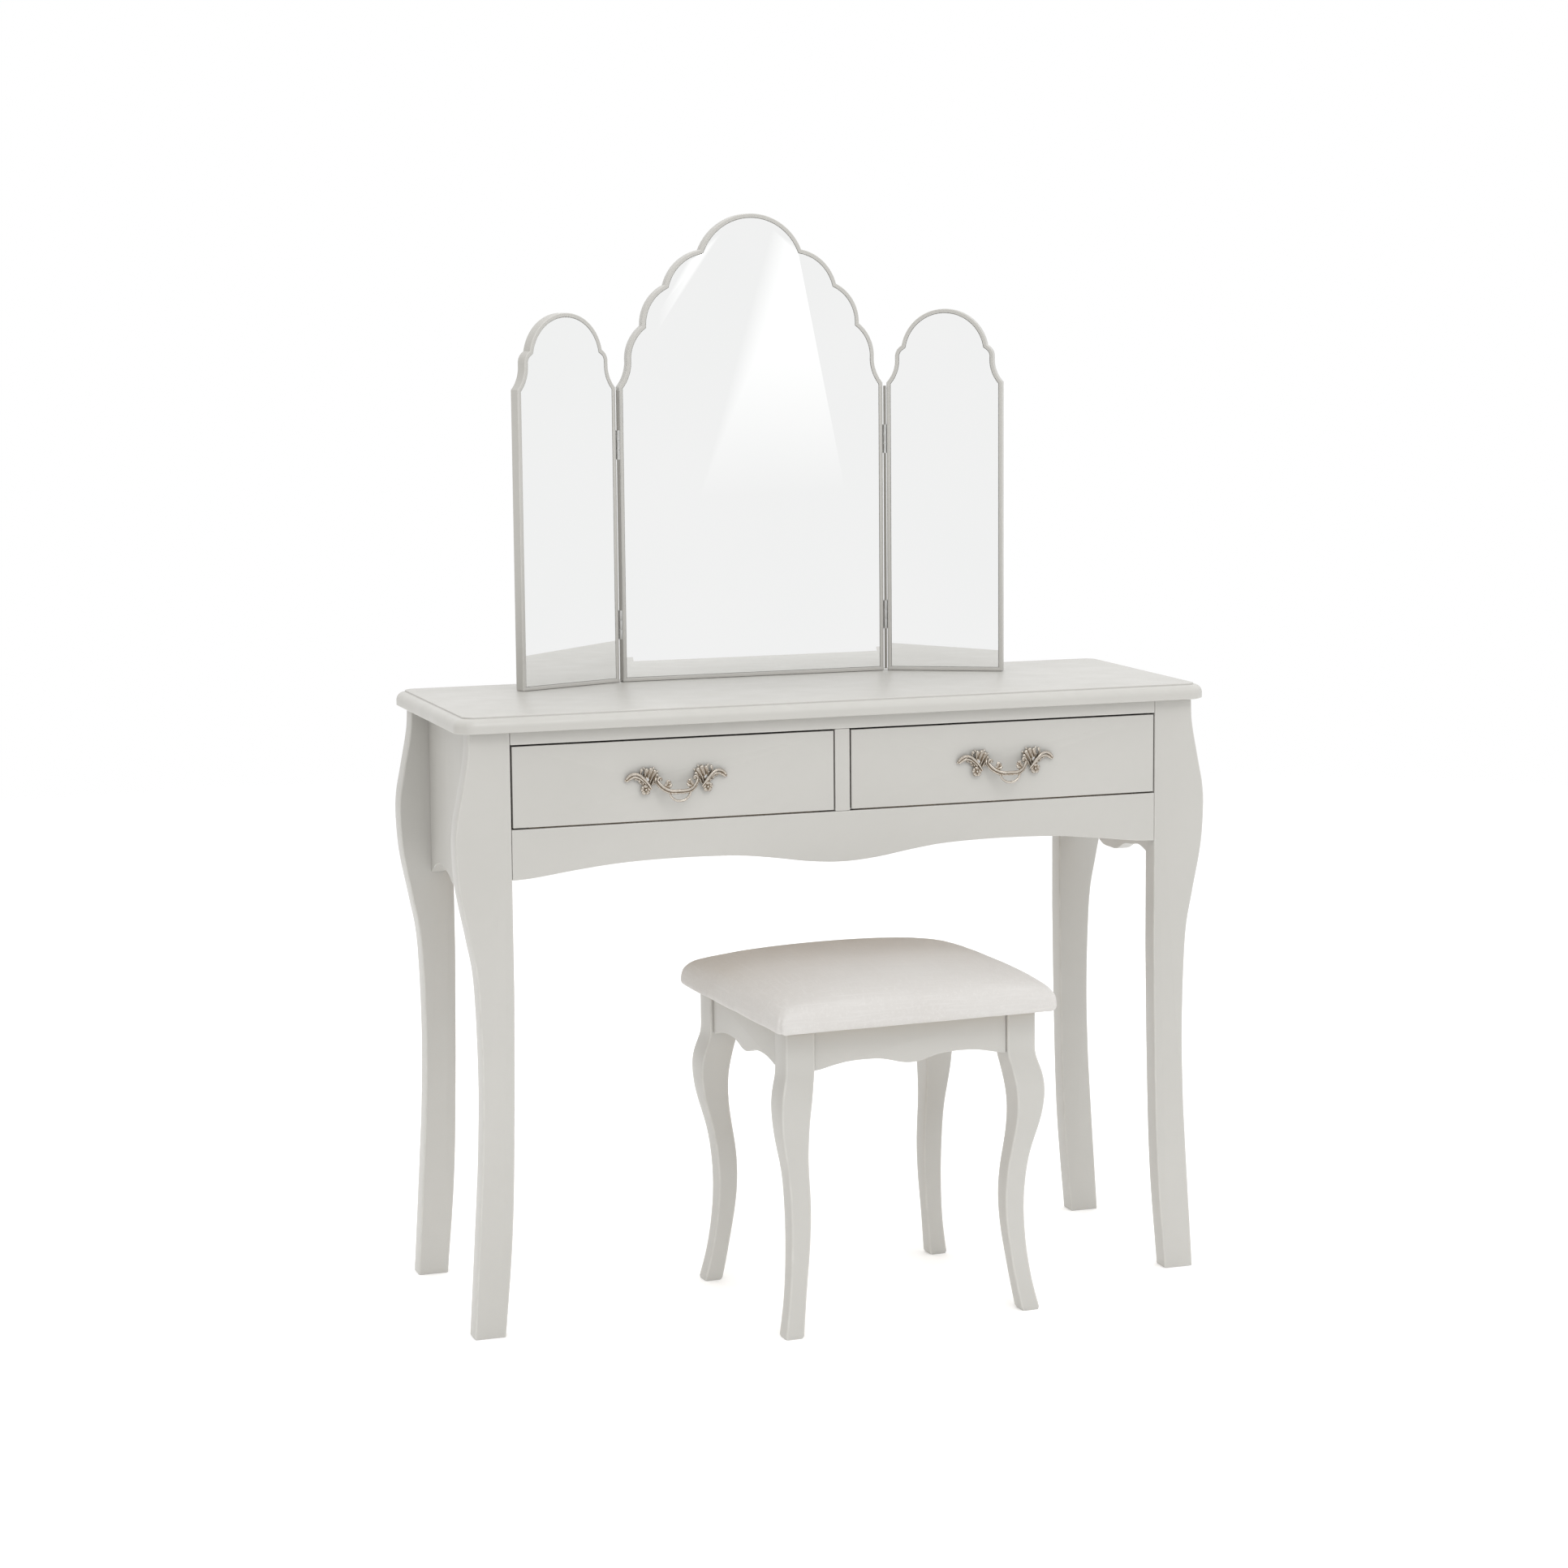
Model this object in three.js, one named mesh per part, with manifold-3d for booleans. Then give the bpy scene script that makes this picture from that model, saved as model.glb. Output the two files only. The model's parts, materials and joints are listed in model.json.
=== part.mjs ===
// A dressing table with two drawers, a free-standing triple mirror and an upholstered stool.
// Millimetres, +Z up. The drawers face -Y, and the feet stand on z = 0.

import * as THREE from "three";
import { mergeVertices } from "three/addons/utils/BufferGeometryUtils.js";
import Module from "manifold-3d";

const wasm = await Module();
wasm.setup();

// ---- Driving dimensions ----

const SEAM = 0.3; // gap between pieces that butt together

// Table top
const TOP_WIDTH = 1000;
const TOP_DEPTH = 362;
const TOP_THICKNESS = 20;
const TOP_CORNER_CLIP = 16;
const TOP_EDGE_ROUND = 11; // quarter round along the edge
const TOP_EDGE_STEP = 2; // small step between the quarter round and the flat
const TABLE_HEIGHT = 782;

// Table legs: shaped boards that stand with their faces to the front
const LEG_THICKNESS = 28;
const LEG_TOP_WIDTH = 52;
const LEG_KNEE_WIDTH = 70.6;
const LEG_ANKLE_WIDTH = 42.5; // from the leg's straight inner edge
const LEG_FOOT_WIDTH = 40;
const LEG_FOOT_SPLAY = 19.5; // how far the foot turns out
const KNEE_DROP = 145; // from the top of the leg down to its fullest point
const ANKLE_HEIGHT = 335; // from the floor up to its narrowest point
const SIDE_OVERHANG = 17;
const FRONT_OVERHANG = 15;
const BACK_OVERHANG = 5;

// Table frame
const SIDE_PANEL_THICKNESS = 18;
const SIDE_PANEL_INSET = 22; // behind the leg's outer edge
const SIDE_PANEL_HEIGHT = 217;
const SIDE_PANEL_ARCH = 15;
const BACK_PANEL_THICKNESS = 12;
const BACK_PANEL_BELOW_OPENING = 40; // below the drawer opening
const BACK_PANEL_INSET = 3;
const TOP_RAIL_HEIGHT = 17;
const TOP_RAIL_DEPTH = 20;
const DRAWER_OPENING_HEIGHT = 105;
const APRON_HEIGHT = 63;
const APRON_ARCH = 16;
const APRON_THICKNESS = 18;
const POST_WIDTH = 19.6;
const DIVIDER_THICKNESS = 15;
const DIVIDER_BELOW_RUNNERS = 15;
const RUNNER_WIDTH = 26;
const RUNNER_HEIGHT = 8;
const CORNER_BLOCK_SIZE = 34;
const CORNER_BLOCK_HEIGHT = 30;

// Drawers
const DRAWER_GAP = 2.2; // dark line round each drawer front
const DRAWER_FRONT_THICKNESS = 16;
const DRAWER_BACK_CLEARANCE = 20.7; // behind the drawer box
const DRAWER_TOP_CLEARANCE = 18.7; // above the drawer box, under the top rail
const DRAWER_WALL = 12;
const DRAWER_SIDE_CLEARANCE = 3;
const DRAWER_BOTTOM_THICKNESS = 4;
const DRAWER_BOTTOM_RISE = 6;

// Drawer handles: cast one-piece pulls with a screw in each end
const HANDLE_SCREW_SPACING = 76;
const HANDLE_LEAF_LENGTH = 46;
const HANDLE_LEAF_HEIGHT = 36;
const HANDLE_LEAF_THICKNESS = 4;
const HANDLE_LEAF_SHIFT = 4; // of each leaf's middle outwards from its screw
const HANDLE_BAR_RADIUS = 2;
const HANDLE_POST_RADIUS = 5;
const HANDLE_POST_LENGTH = 10;
const HANDLE_PROJECTION = 20; // of the bar in front of the drawer
const HANDLE_BAR_HALF = 20; // of the straight stretch in the middle
const HANDLE_BAR_DROP = 14; // of the bar below the screws
const HANDLE_RING_RADIUS = 14; // half ring under the bar
const HANDLE_LIFT = 2; // of the screws above the drawer front's middle
const SCREW_RADIUS = 2;
const SCREW_CLEARANCE = 0.35;
const SCREW_HEAD_RADIUS = 4;
const SCREW_HEAD_HEIGHT = 2.4;
const SCREW_SLOT_WIDTH = 1.2;
const SCREW_SLOT_DEPTH = 1;
const SCREW_BITE = 6; // length inside the handle

// Mirror
const MIRROR_HALF_WIDTH = 183.5;
const WING_WIDTH = 156;
const MIRROR_THICKNESS = 16;
const MIRROR_SHOULDER = 387;
const MIRROR_CREST_RISE = 47;
const WING_CREST_RISE = 48;
const FRAME_FACE = 5;
const GLASS_THICKNESS = 3;
const GLASS_SETBACK = 0.8;
const MIRROR_BACK_SETBACK = 48; // from the mirror's face to the back edge of the top
const MIRROR_SHIFT = -17; // the mirror stands a little left of the middle
const LEFT_WING_FOLD = 21; // degrees forward
const RIGHT_WING_FOLD = 28.5;
const HINGE_GAP = 4.4;
const HINGE_PROUD = 1.5; // of the hinge axis in front of the frame's face
const HINGE_LENGTH = 38;
const HINGE_LEAF = 0.8;
const HINGE_LEAF_DEPTH = 12;
const KNUCKLE_RADIUS = 2;
const HINGE_PIN_RADIUS = 0.9;
const HINGE_CLEARANCE = 0.3;
const HINGE_HEIGHTS = [0.196, 0.806]; // of each pair of hinges, as shares of the shoulder height

// Stool
const STOOL_WIDTH = 340; // over the straight tops of the legs
const STOOL_DEPTH = 304;
const STOOL_LEG_DROP = 392; // from the table's surface down to the tops of the stool's legs
const STOOL_LEG_SIZE = 39;
const STOOL_APRON_HEIGHT = 53;
const STOOL_APRON_ARCH = 8.5;
const STOOL_APRON_THICKNESS = 16;
const STOOL_APRON_INSET = 4;
const SEAT_BOARD_THICKNESS = 10;
const SEAT_BOARD_MARGIN = 6; // of the board inside the cushion's edge
const CUSHION_OVERHANG_SIDE = 13; // beyond the straight tops of the legs
const CUSHION_OVERHANG_FRONT = 21;
const CUSHION_HEIGHT = 58;
const CUSHION_CROWN = 24; // rounding of its upper edge
const CUSHION_CORNER = 30; // corner radius seen from above
const STOOL_X = 39;
const STOOL_Y = -136;
const STOOL_TURN = 3; // degrees

// ---- Sizes that follow ----

const topSide = TOP_WIDTH / 2;
const topFront = -TOP_DEPTH / 2;
const topBack = TOP_DEPTH / 2;
const underTop = TABLE_HEIGHT - TOP_THICKNESS;
const legOuter = topSide - SIDE_OVERHANG;
const legInner = legOuter - LEG_TOP_WIDTH;
const frontFace = topFront + FRONT_OVERHANG;
const backFace = topBack - BACK_OVERHANG;
const openingTop = underTop - TOP_RAIL_HEIGHT;
const openingBottom = openingTop - DRAWER_OPENING_HEIGHT;
const boxFloor = openingBottom + RUNNER_HEIGHT + SEAM;
const backPanelFront = backFace - BACK_PANEL_INSET - BACK_PANEL_THICKNESS;
const drawerInner = POST_WIDTH / 2 + DRAWER_GAP;
const drawerOuter = legInner - DRAWER_GAP;
const drawerMiddle = (drawerInner + drawerOuter) / 2;
const drawerBack = frontFace + DRAWER_FRONT_THICKNESS;
const handleHeight = (openingTop + openingBottom) / 2 + HANDLE_LIFT;
const mirrorFace = topBack - MIRROR_BACK_SETBACK;
const stoolLegHeight = TABLE_HEIGHT - STOOL_LEG_DROP;
const stoolLegOuterX = STOOL_WIDTH / 2;
const stoolLegOuterY = STOOL_DEPTH / 2;
const cushionHalfX = stoolLegOuterX + CUSHION_OVERHANG_SIDE;
const cushionHalfY = stoolLegOuterY + CUSHION_OVERHANG_FRONT;

// ---- Geometry helpers ----

function asSolid(geometry) {
  const bare = geometry.index ? geometry.toNonIndexed() : geometry.clone();
  bare.deleteAttribute("normal");
  bare.deleteAttribute("uv");
  const merged = mergeVertices(bare, 1e-3);
  return new wasm.Manifold(
    new wasm.Mesh({
      numProp: 3,
      vertProperties: merged.attributes.position.array,
      triVerts: new Uint32Array(merged.index.array),
    }),
  );
}

function asGeometry(body) {
  const mesh = body.getMesh();
  const geometry = new THREE.BufferGeometry();
  geometry.setAttribute("position", new THREE.BufferAttribute(mesh.vertProperties, 3));
  geometry.setIndex(new THREE.BufferAttribute(mesh.triVerts, 1));
  geometry.computeVertexNormals();
  return geometry;
}

function join(...pieces) {
  return asGeometry(pieces.map(asSolid).reduce((all, next) => all.add(next)));
}

function cut(piece, ...tools) {
  return asGeometry(tools.map(asSolid).reduce((left, tool) => left.subtract(tool), asSolid(piece)));
}

function common(a, b) {
  return asGeometry(asSolid(a).intersect(asSolid(b)));
}

function block(x0, x1, y0, y1, z0, z1) {
  const geometry = new THREE.BoxGeometry(Math.abs(x1 - x0), Math.abs(y1 - y0), Math.abs(z1 - z0));
  return geometry.translate((x0 + x1) / 2, (y0 + y1) / 2, (z0 + z1) / 2);
}

// A board cut to an outline of [x, z] points, with its front face at y = front.
function frontBoard(outline, thickness, front) {
  const shape = new THREE.Shape(outline.map(([x, z]) => new THREE.Vector2(x, z)));
  const geometry = new THREE.ExtrudeGeometry(shape, { depth: thickness, bevelEnabled: false });
  return geometry.rotateX(Math.PI / 2).translate(0, front + thickness, 0);
}

// A board cut to an outline of [y, z] points, from x = left to the right.
function sideBoard(outline, thickness, left) {
  const shape = new THREE.Shape(outline.map(([y, z]) => new THREE.Vector2(y, z)));
  const geometry = new THREE.ExtrudeGeometry(shape, { depth: thickness, bevelEnabled: false });
  return geometry.rotateX(Math.PI / 2).rotateZ(Math.PI / 2).translate(left, 0, 0);
}

function flatBoard(outline, thickness, low) {
  const shape = new THREE.Shape(outline.map(([x, y]) => new THREE.Vector2(x, y)));
  const geometry = new THREE.ExtrudeGeometry(shape, { depth: thickness, bevelEnabled: false });
  return geometry.translate(0, 0, low);
}

// A rod along Y or along Z.
function rodY(radius, x, z, y0, y1, sides = 16) {
  const rod = new THREE.CylinderGeometry(radius, radius, y1 - y0, sides);
  return rod.translate(x, (y0 + y1) / 2, z);
}

function rodZ(radius, x, y, z0, z1, sides = 16) {
  const rod = new THREE.CylinderGeometry(radius, radius, z1 - z0, sides).rotateX(Math.PI / 2);
  return rod.translate(x, y, (z0 + z1) / 2);
}

// [a, b] points of a smooth line through the given ones.
function smooth(points, steps) {
  const line = new THREE.SplineCurve(points.map(([a, b]) => new THREE.Vector2(a, b)));
  return line.getPoints(steps).map((p) => [p.x, p.y]);
}

// A round stretch from one point to another that swells to its right by `rise`.
function bow(from, to, rise, steps) {
  const dx = to[0] - from[0];
  const dy = to[1] - from[1];
  const half = Math.hypot(dx, dy) / 2;
  const spread = 2 * Math.atan(rise / half);
  const radius = half / Math.sin(spread);
  return Array.from({ length: steps }, (_, i) => {
    const angle = spread * ((2 * (i + 1)) / steps - 1);
    const along = radius * Math.sin(angle);
    const out = radius * (Math.cos(angle) - Math.cos(spread));
    return [
      (from[0] + to[0]) / 2 + (along * dx + out * dy) / (2 * half),
      (from[1] + to[1]) / 2 + (along * dy - out * dx) / (2 * half),
    ];
  });
}

// The same closed outline, drawn `distance` further in.
function inset(outline, distance) {
  return outline.map((point, i) => {
    const before = outline[(i + outline.length - 1) % outline.length];
    const after = outline[(i + 1) % outline.length];
    const a = Math.atan2(point[1] - before[1], point[0] - before[0]);
    const b = Math.atan2(after[1] - point[1], after[0] - point[0]);
    const turn = Math.atan2(Math.sin(b - a), Math.cos(b - a));
    const inward = a + turn / 2 + Math.PI / 2;
    const reach = distance / Math.cos(turn / 2);
    return [point[0] + reach * Math.cos(inward), point[1] + reach * Math.sin(inward)];
  });
}

const flip = (outline) => outline.map(([a, b]) => [-a, b]);

const finishes = {
  paint: { color: 0xcdcbc5, roughness: 0.5, metalness: 0 },
  wood: { color: 0xd8cfc0, roughness: 0.7, metalness: 0 },
  glass: { color: 0xf2f4f4, roughness: 0.03, metalness: 1 },
  silver: { color: 0xb4a899, roughness: 0.35, metalness: 0.9 },
  steel: { color: 0x9a9a98, roughness: 0.35, metalness: 0.9 },
  linen: { color: 0xe3deda, roughness: 0.95, metalness: 0 },
};

function add(group, name, geometry, finish) {
  const mesh = new THREE.Mesh(geometry, new THREE.MeshStandardMaterial(finishes[finish]));
  mesh.name = name;
  group.add(mesh);
}

// ---- Table ----

function clippedRectangle(halfX, halfY, clip) {
  return [
    [-halfX + clip, -halfY],
    [halfX - clip, -halfY],
    [halfX, -halfY + clip],
    [halfX, halfY - clip],
    [halfX - clip, halfY],
    [-halfX + clip, halfY],
    [-halfX, halfY - clip],
    [-halfX, -halfY + clip],
  ];
}

// The top: a square-edged slab, a quarter round above it and a flat field inside a small step.
function topSlab() {
  const edge = clippedRectangle(topSide, topBack, TOP_CORNER_CLIP);
  const field = inset(edge, TOP_EDGE_ROUND);
  const roundTop = TABLE_HEIGHT - TOP_EDGE_STEP;
  const shape = new THREE.Shape(field.map(([x, y]) => new THREE.Vector2(x, y)));
  const rounded = new THREE.ExtrudeGeometry(shape, {
    depth: TOP_THICKNESS,
    bevelThickness: TOP_EDGE_ROUND,
    bevelSize: TOP_EDGE_ROUND,
    bevelSegments: 4,
  }).translate(0, 0, roundTop - TOP_THICKNESS - TOP_EDGE_ROUND);
  const keep = block(-topSide - 1, topSide + 1, topFront - 1, topBack + 1, underTop, TABLE_HEIGHT);
  const raised = flatBoard(inset(field, 1), TOP_EDGE_STEP + 1, roundTop - 1);
  return join(common(rounded, keep), raised);
}

// A leg's outline from its straight inner edge at zero: top, knee, ankle and a foot that turns out.
function legOutline() {
  const top = underTop - SEAM;
  const knee = top - KNEE_DROP;
  const swell = LEG_KNEE_WIDTH - LEG_TOP_WIDTH;
  const waist = LEG_KNEE_WIDTH - LEG_ANKLE_WIDTH;
  const calf = knee - ANKLE_HEIGHT;
  const footOuter = LEG_FOOT_SPLAY + LEG_FOOT_WIDTH;
  const outer = smooth(
    [
      [LEG_TOP_WIDTH, top],
      [LEG_TOP_WIDTH + 0.1 * swell, knee + 0.77 * KNEE_DROP],
      [LEG_TOP_WIDTH + 0.63 * swell, knee + 0.41 * KNEE_DROP],
      [LEG_KNEE_WIDTH - 0.08 * swell, knee + 0.21 * KNEE_DROP],
      [LEG_KNEE_WIDTH, knee],
      [LEG_KNEE_WIDTH - 0.13 * waist, knee - 0.18 * calf],
      [LEG_KNEE_WIDTH - 0.55 * waist, knee - 0.4 * calf],
      [LEG_KNEE_WIDTH - 0.87 * waist, knee - 0.6 * calf],
      [LEG_ANKLE_WIDTH, ANKLE_HEIGHT],
      [LEG_ANKLE_WIDTH + 1.8, 0.73 * ANKLE_HEIGHT],
      [LEG_ANKLE_WIDTH + 0.35 * (footOuter - LEG_ANKLE_WIDTH), 0.5 * ANKLE_HEIGHT],
      [footOuter, 0],
    ],
    36,
  );
  const inner = smooth(
    [
      [LEG_FOOT_SPLAY, 0],
      [0.41 * LEG_FOOT_SPLAY, 0.4 * ANKLE_HEIGHT],
      [0.15 * LEG_FOOT_SPLAY, 0.82 * ANKLE_HEIGHT],
      [0, 1.3 * ANKLE_HEIGHT],
    ],
    14,
  );
  return [...outer, ...inner, [0, top]];
}

function addLegs(table) {
  const outline = legOutline().map(([width, z]) => [legInner + width, z]);
  const faces = { front: frontFace, back: backFace - LEG_THICKNESS };
  for (const [row, face] of Object.entries(faces)) {
    add(table, `${row}_right_leg`, frontBoard(outline, LEG_THICKNESS, face), "paint");
    add(table, `${row}_left_leg`, frontBoard(flip(outline), LEG_THICKNESS, face), "paint");
  }
}

// A side panel's lower edge drops at both ends and in the middle, with an arch on each side.
function sidePanelOutline() {
  const low = underTop - SIDE_PANEL_HEIGHT;
  const front = frontFace + LEG_THICKNESS + SEAM;
  const back = backFace - LEG_THICKNESS - SEAM;
  const middle = (front + back) / 2;
  const reach = (back - front) / 2;
  const half = [
    [0, low - 2],
    [0.16 * reach, low - 1],
    [0.34 * reach, low + 0.6 * SIDE_PANEL_ARCH],
    [0.5 * reach, low + 0.8 * SIDE_PANEL_ARCH],
    [0.66 * reach, low + SIDE_PANEL_ARCH],
    [0.85 * reach, low + 0.55 * SIDE_PANEL_ARCH],
    [reach, low - 4],
  ];
  const edge = smooth([...flip(half.slice(1)).reverse(), ...half], 40);
  const top = underTop - SEAM;
  return [...edge.map(([y, z]) => [middle + y, z]), [back, top], [front, top]];
}

// The front apron's lower edge: level at the legs, two long arches and a low point in the middle.
function apronOutline(reach, top, height, arch) {
  const low = top - height;
  const half = [
    [0, low - 0.1 * arch],
    [0.105 * reach, low + 0.09 * arch],
    [0.22 * reach, low + 0.56 * arch],
    [0.33 * reach, low + 0.89 * arch],
    [0.5 * reach, low + arch],
    [0.67 * reach, low + 0.88 * arch],
    [0.81 * reach, low + 0.53 * arch],
    [0.93 * reach, low + 0.12 * arch],
    [reach, low],
  ];
  const edge = smooth([...flip(half.slice(1)).reverse(), ...half], 48);
  return [...edge, [reach, top], [-reach, top]];
}

function addFrame(table) {
  const reach = legInner - SEAM;
  const railBack = frontFace + TOP_RAIL_DEPTH;
  const apronBack = frontFace + APRON_THICKNESS;
  const sideOuter = legOuter - SIDE_PANEL_INSET;
  const sides = sidePanelOutline();
  const sideInner = sideOuter - SIDE_PANEL_THICKNESS;
  add(table, "right_side_panel", sideBoard(sides, SIDE_PANEL_THICKNESS, sideInner), "paint");
  add(table, "left_side_panel", sideBoard(sides, SIDE_PANEL_THICKNESS, -sideOuter), "paint");
  add(
    table,
    "back_panel",
    block(
      -reach,
      reach,
      backPanelFront,
      backPanelFront + BACK_PANEL_THICKNESS,
      openingBottom - BACK_PANEL_BELOW_OPENING,
      underTop - SEAM,
    ),
    "paint",
  );
  const apron = apronOutline(reach, openingBottom, APRON_HEIGHT, APRON_ARCH);
  add(table, "front_apron", frontBoard(apron, APRON_THICKNESS, frontFace), "paint");
  add(table, "top_rail", block(-reach, reach, frontFace, railBack, openingTop, underTop - SEAM), "paint");
  const postHalf = POST_WIDTH / 2;
  add(
    table,
    "centre_post",
    block(-postHalf, postHalf, frontFace, railBack, openingBottom + SEAM, openingTop - SEAM),
    "paint",
  );
  const dividerHalf = DIVIDER_THICKNESS / 2;
  add(
    table,
    "centre_divider",
    block(
      -dividerHalf,
      dividerHalf,
      railBack + SEAM,
      backPanelFront - SEAM,
      openingBottom - DIVIDER_BELOW_RUNNERS,
      underTop - SEAM,
    ),
    "wood",
  );
  for (const side of [-1, 1]) {
    const word = side < 0 ? "left" : "right";
    const starts = { inner: dividerHalf + SEAM, outer: reach - RUNNER_WIDTH };
    for (const [place, start] of Object.entries(starts)) {
      const runner = block(
        side * start,
        side * (start + RUNNER_WIDTH),
        apronBack + SEAM + (place === "inner" ? TOP_RAIL_DEPTH - APRON_THICKNESS : 0),
        backPanelFront - SEAM,
        openingBottom,
        openingBottom + RUNNER_HEIGHT,
      );
      add(table, `${word}_${place}_runner`, runner, "wood");
    }
    const corner = [
      [side * reach, apronBack + SEAM],
      [side * reach, apronBack + SEAM + CORNER_BLOCK_SIZE],
      [side * (reach - CORNER_BLOCK_SIZE), apronBack + SEAM],
    ];
    const low = openingBottom - SEAM - CORNER_BLOCK_HEIGHT;
    add(table, `${word}_corner_block`, flatBoard(corner, CORNER_BLOCK_HEIGHT, low), "wood");
  }
}

// ---- Drawers ----

// One end of the pull: a leaf with five lobes, made as a flat plate.
function leafPlate(side) {
  const points = Array.from({ length: 30 }, (_, i) => {
    const angle = (i / 30) * 2 * Math.PI;
    const lobes = 1 + 0.13 * Math.cos(5 * angle);
    return [
      side * (HANDLE_LEAF_LENGTH / 2) * lobes * Math.cos(angle) * 0.9,
      (HANDLE_LEAF_HEIGHT / 2) * lobes * Math.sin(angle) * 0.9,
    ];
  });
  const plate = frontBoard(points, HANDLE_LEAF_THICKNESS, -HANDLE_LEAF_THICKNESS);
  return plate.translate(side * (HANDLE_SCREW_SPACING / 2 + HANDLE_LEAF_SHIFT), 0, 0);
}

function bar(points, steps) {
  const path = new THREE.CatmullRomCurve3(points.map((p) => new THREE.Vector3(...p)));
  const section = new THREE.Shape(
    Array.from({ length: 8 }, (_, i) => {
      const angle = (i / 8) * 2 * Math.PI;
      return new THREE.Vector2(HANDLE_BAR_RADIUS * Math.cos(angle), HANDLE_BAR_RADIUS * Math.sin(angle));
    }),
  );
  return new THREE.ExtrudeGeometry(section, { steps, extrudePath: path, bevelEnabled: false });
}

// A length of bar in front of the drawer, drawn as its right half from the middle outwards.
function mirroredBar(half, steps) {
  const left = half.slice(1).map(([x, y, z]) => [-x, y, z]);
  return bar([...left.reverse(), ...half], steps);
}

// The pull, with its back on y = 0 and its screws on z = 0. A bar dips from leaf to leaf, and a half
// ring hangs under its straight stretch.
function handle() {
  const screwX = HANDLE_SCREW_SPACING / 2;
  const out = -HANDLE_PROJECTION;
  const bail = mirroredBar(
    [
      [0, out, -HANDLE_BAR_DROP],
      [0.6 * HANDLE_BAR_HALF, out, -HANDLE_BAR_DROP],
      [HANDLE_BAR_HALF, 0.95 * out, -0.8 * HANDLE_BAR_DROP],
      [(HANDLE_BAR_HALF + screwX) / 2, 0.75 * out, -0.35 * HANDLE_BAR_DROP],
      [screwX, 0.2 * out, 0],
    ],
    32,
  );
  const ring = mirroredBar(
    [
      [0, out, -HANDLE_BAR_DROP - HANDLE_RING_RADIUS],
      [0.5 * HANDLE_RING_RADIUS, out, -HANDLE_BAR_DROP - 0.87 * HANDLE_RING_RADIUS],
      [0.87 * HANDLE_RING_RADIUS, out, -HANDLE_BAR_DROP - 0.5 * HANDLE_RING_RADIUS],
      [HANDLE_RING_RADIUS, out, -HANDLE_BAR_DROP],
    ],
    18,
  );
  const posts = [-1, 1].map((side) => rodY(HANDLE_POST_RADIUS, side * screwX, 0, -HANDLE_POST_LENGTH, 0, 12));
  const bored = [-1, 1].map((side) =>
    rodY(SCREW_RADIUS + SCREW_CLEARANCE, side * screwX, 0, -SCREW_BITE - SEAM, 1, 12),
  );
  return cut(join(bail, ring, ...posts, leafPlate(-1), leafPlate(1)), ...bored);
}

// A screw from inside the drawer, with its head behind the drawer front.
function handleScrew() {
  const shank = rodY(SCREW_RADIUS, 0, 0, -SCREW_BITE, DRAWER_FRONT_THICKNESS + SEAM + 1, 12);
  const headStart = DRAWER_FRONT_THICKNESS + SEAM;
  const head = rodY(SCREW_HEAD_RADIUS, 0, 0, headStart, headStart + SCREW_HEAD_HEIGHT, 16);
  const slotBottom = headStart + SCREW_HEAD_HEIGHT - SCREW_SLOT_DEPTH;
  const across = SCREW_HEAD_RADIUS + 1;
  const slotHalf = SCREW_SLOT_WIDTH / 2;
  const slot = block(-across, across, slotBottom, slotBottom + 4, -slotHalf, slotHalf);
  return cut(join(shank, head), slot);
}

function drawer(side) {
  const word = side < 0 ? "left" : "right";
  const group = new THREE.Group();
  const half = (drawerOuter - drawerInner) / 2;
  const boxHalf = half - DRAWER_SIDE_CLEARANCE;
  const low = openingBottom + DRAWER_GAP;
  const high = openingTop - DRAWER_GAP;
  const boxFront = drawerBack + SEAM;
  const boxBack = backPanelFront - DRAWER_BACK_CLEARANCE;
  const boxTop = openingTop - DRAWER_TOP_CLEARANCE;
  const holes = [-1, 1].map((end) =>
    rodY(
      SCREW_RADIUS + SCREW_CLEARANCE,
      (end * HANDLE_SCREW_SPACING) / 2,
      handleHeight,
      frontFace - 1,
      drawerBack + 1,
      12,
    ),
  );
  const front = cut(block(-half, half, frontFace, drawerBack, low, high), ...holes);
  add(group, `${word}_drawer_front`, front, "paint");
  const wall = (x0) => block(x0, x0 + DRAWER_WALL, boxFront, boxBack, boxFloor, boxTop);
  add(group, `${word}_drawer_left_wall`, wall(-boxHalf), "wood");
  add(group, `${word}_drawer_right_wall`, wall(boxHalf - DRAWER_WALL), "wood");
  const inside = boxHalf - DRAWER_WALL - SEAM;
  add(
    group,
    `${word}_drawer_back`,
    block(-inside, inside, boxBack - DRAWER_WALL, boxBack, boxFloor, boxTop),
    "wood",
  );
  const floor = boxFloor + DRAWER_BOTTOM_RISE;
  add(
    group,
    `${word}_drawer_bottom`,
    block(-inside, inside, boxFront, boxBack - DRAWER_WALL - SEAM, floor, floor + DRAWER_BOTTOM_THICKNESS),
    "wood",
  );
  const place = [0, frontFace - SEAM, handleHeight];
  add(group, `${word}_handle`, handle().translate(...place), "silver");
  for (const end of [-1, 1]) {
    const screw = handleScrew().translate((end * HANDLE_SCREW_SPACING) / 2, frontFace, handleHeight);
    add(group, `${word}_handle_${end < 0 ? "left" : "right"}_screw`, screw, "steel");
  }
  group.position.x = side * drawerMiddle;
  return group;
}

// ---- Mirror ----

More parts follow.
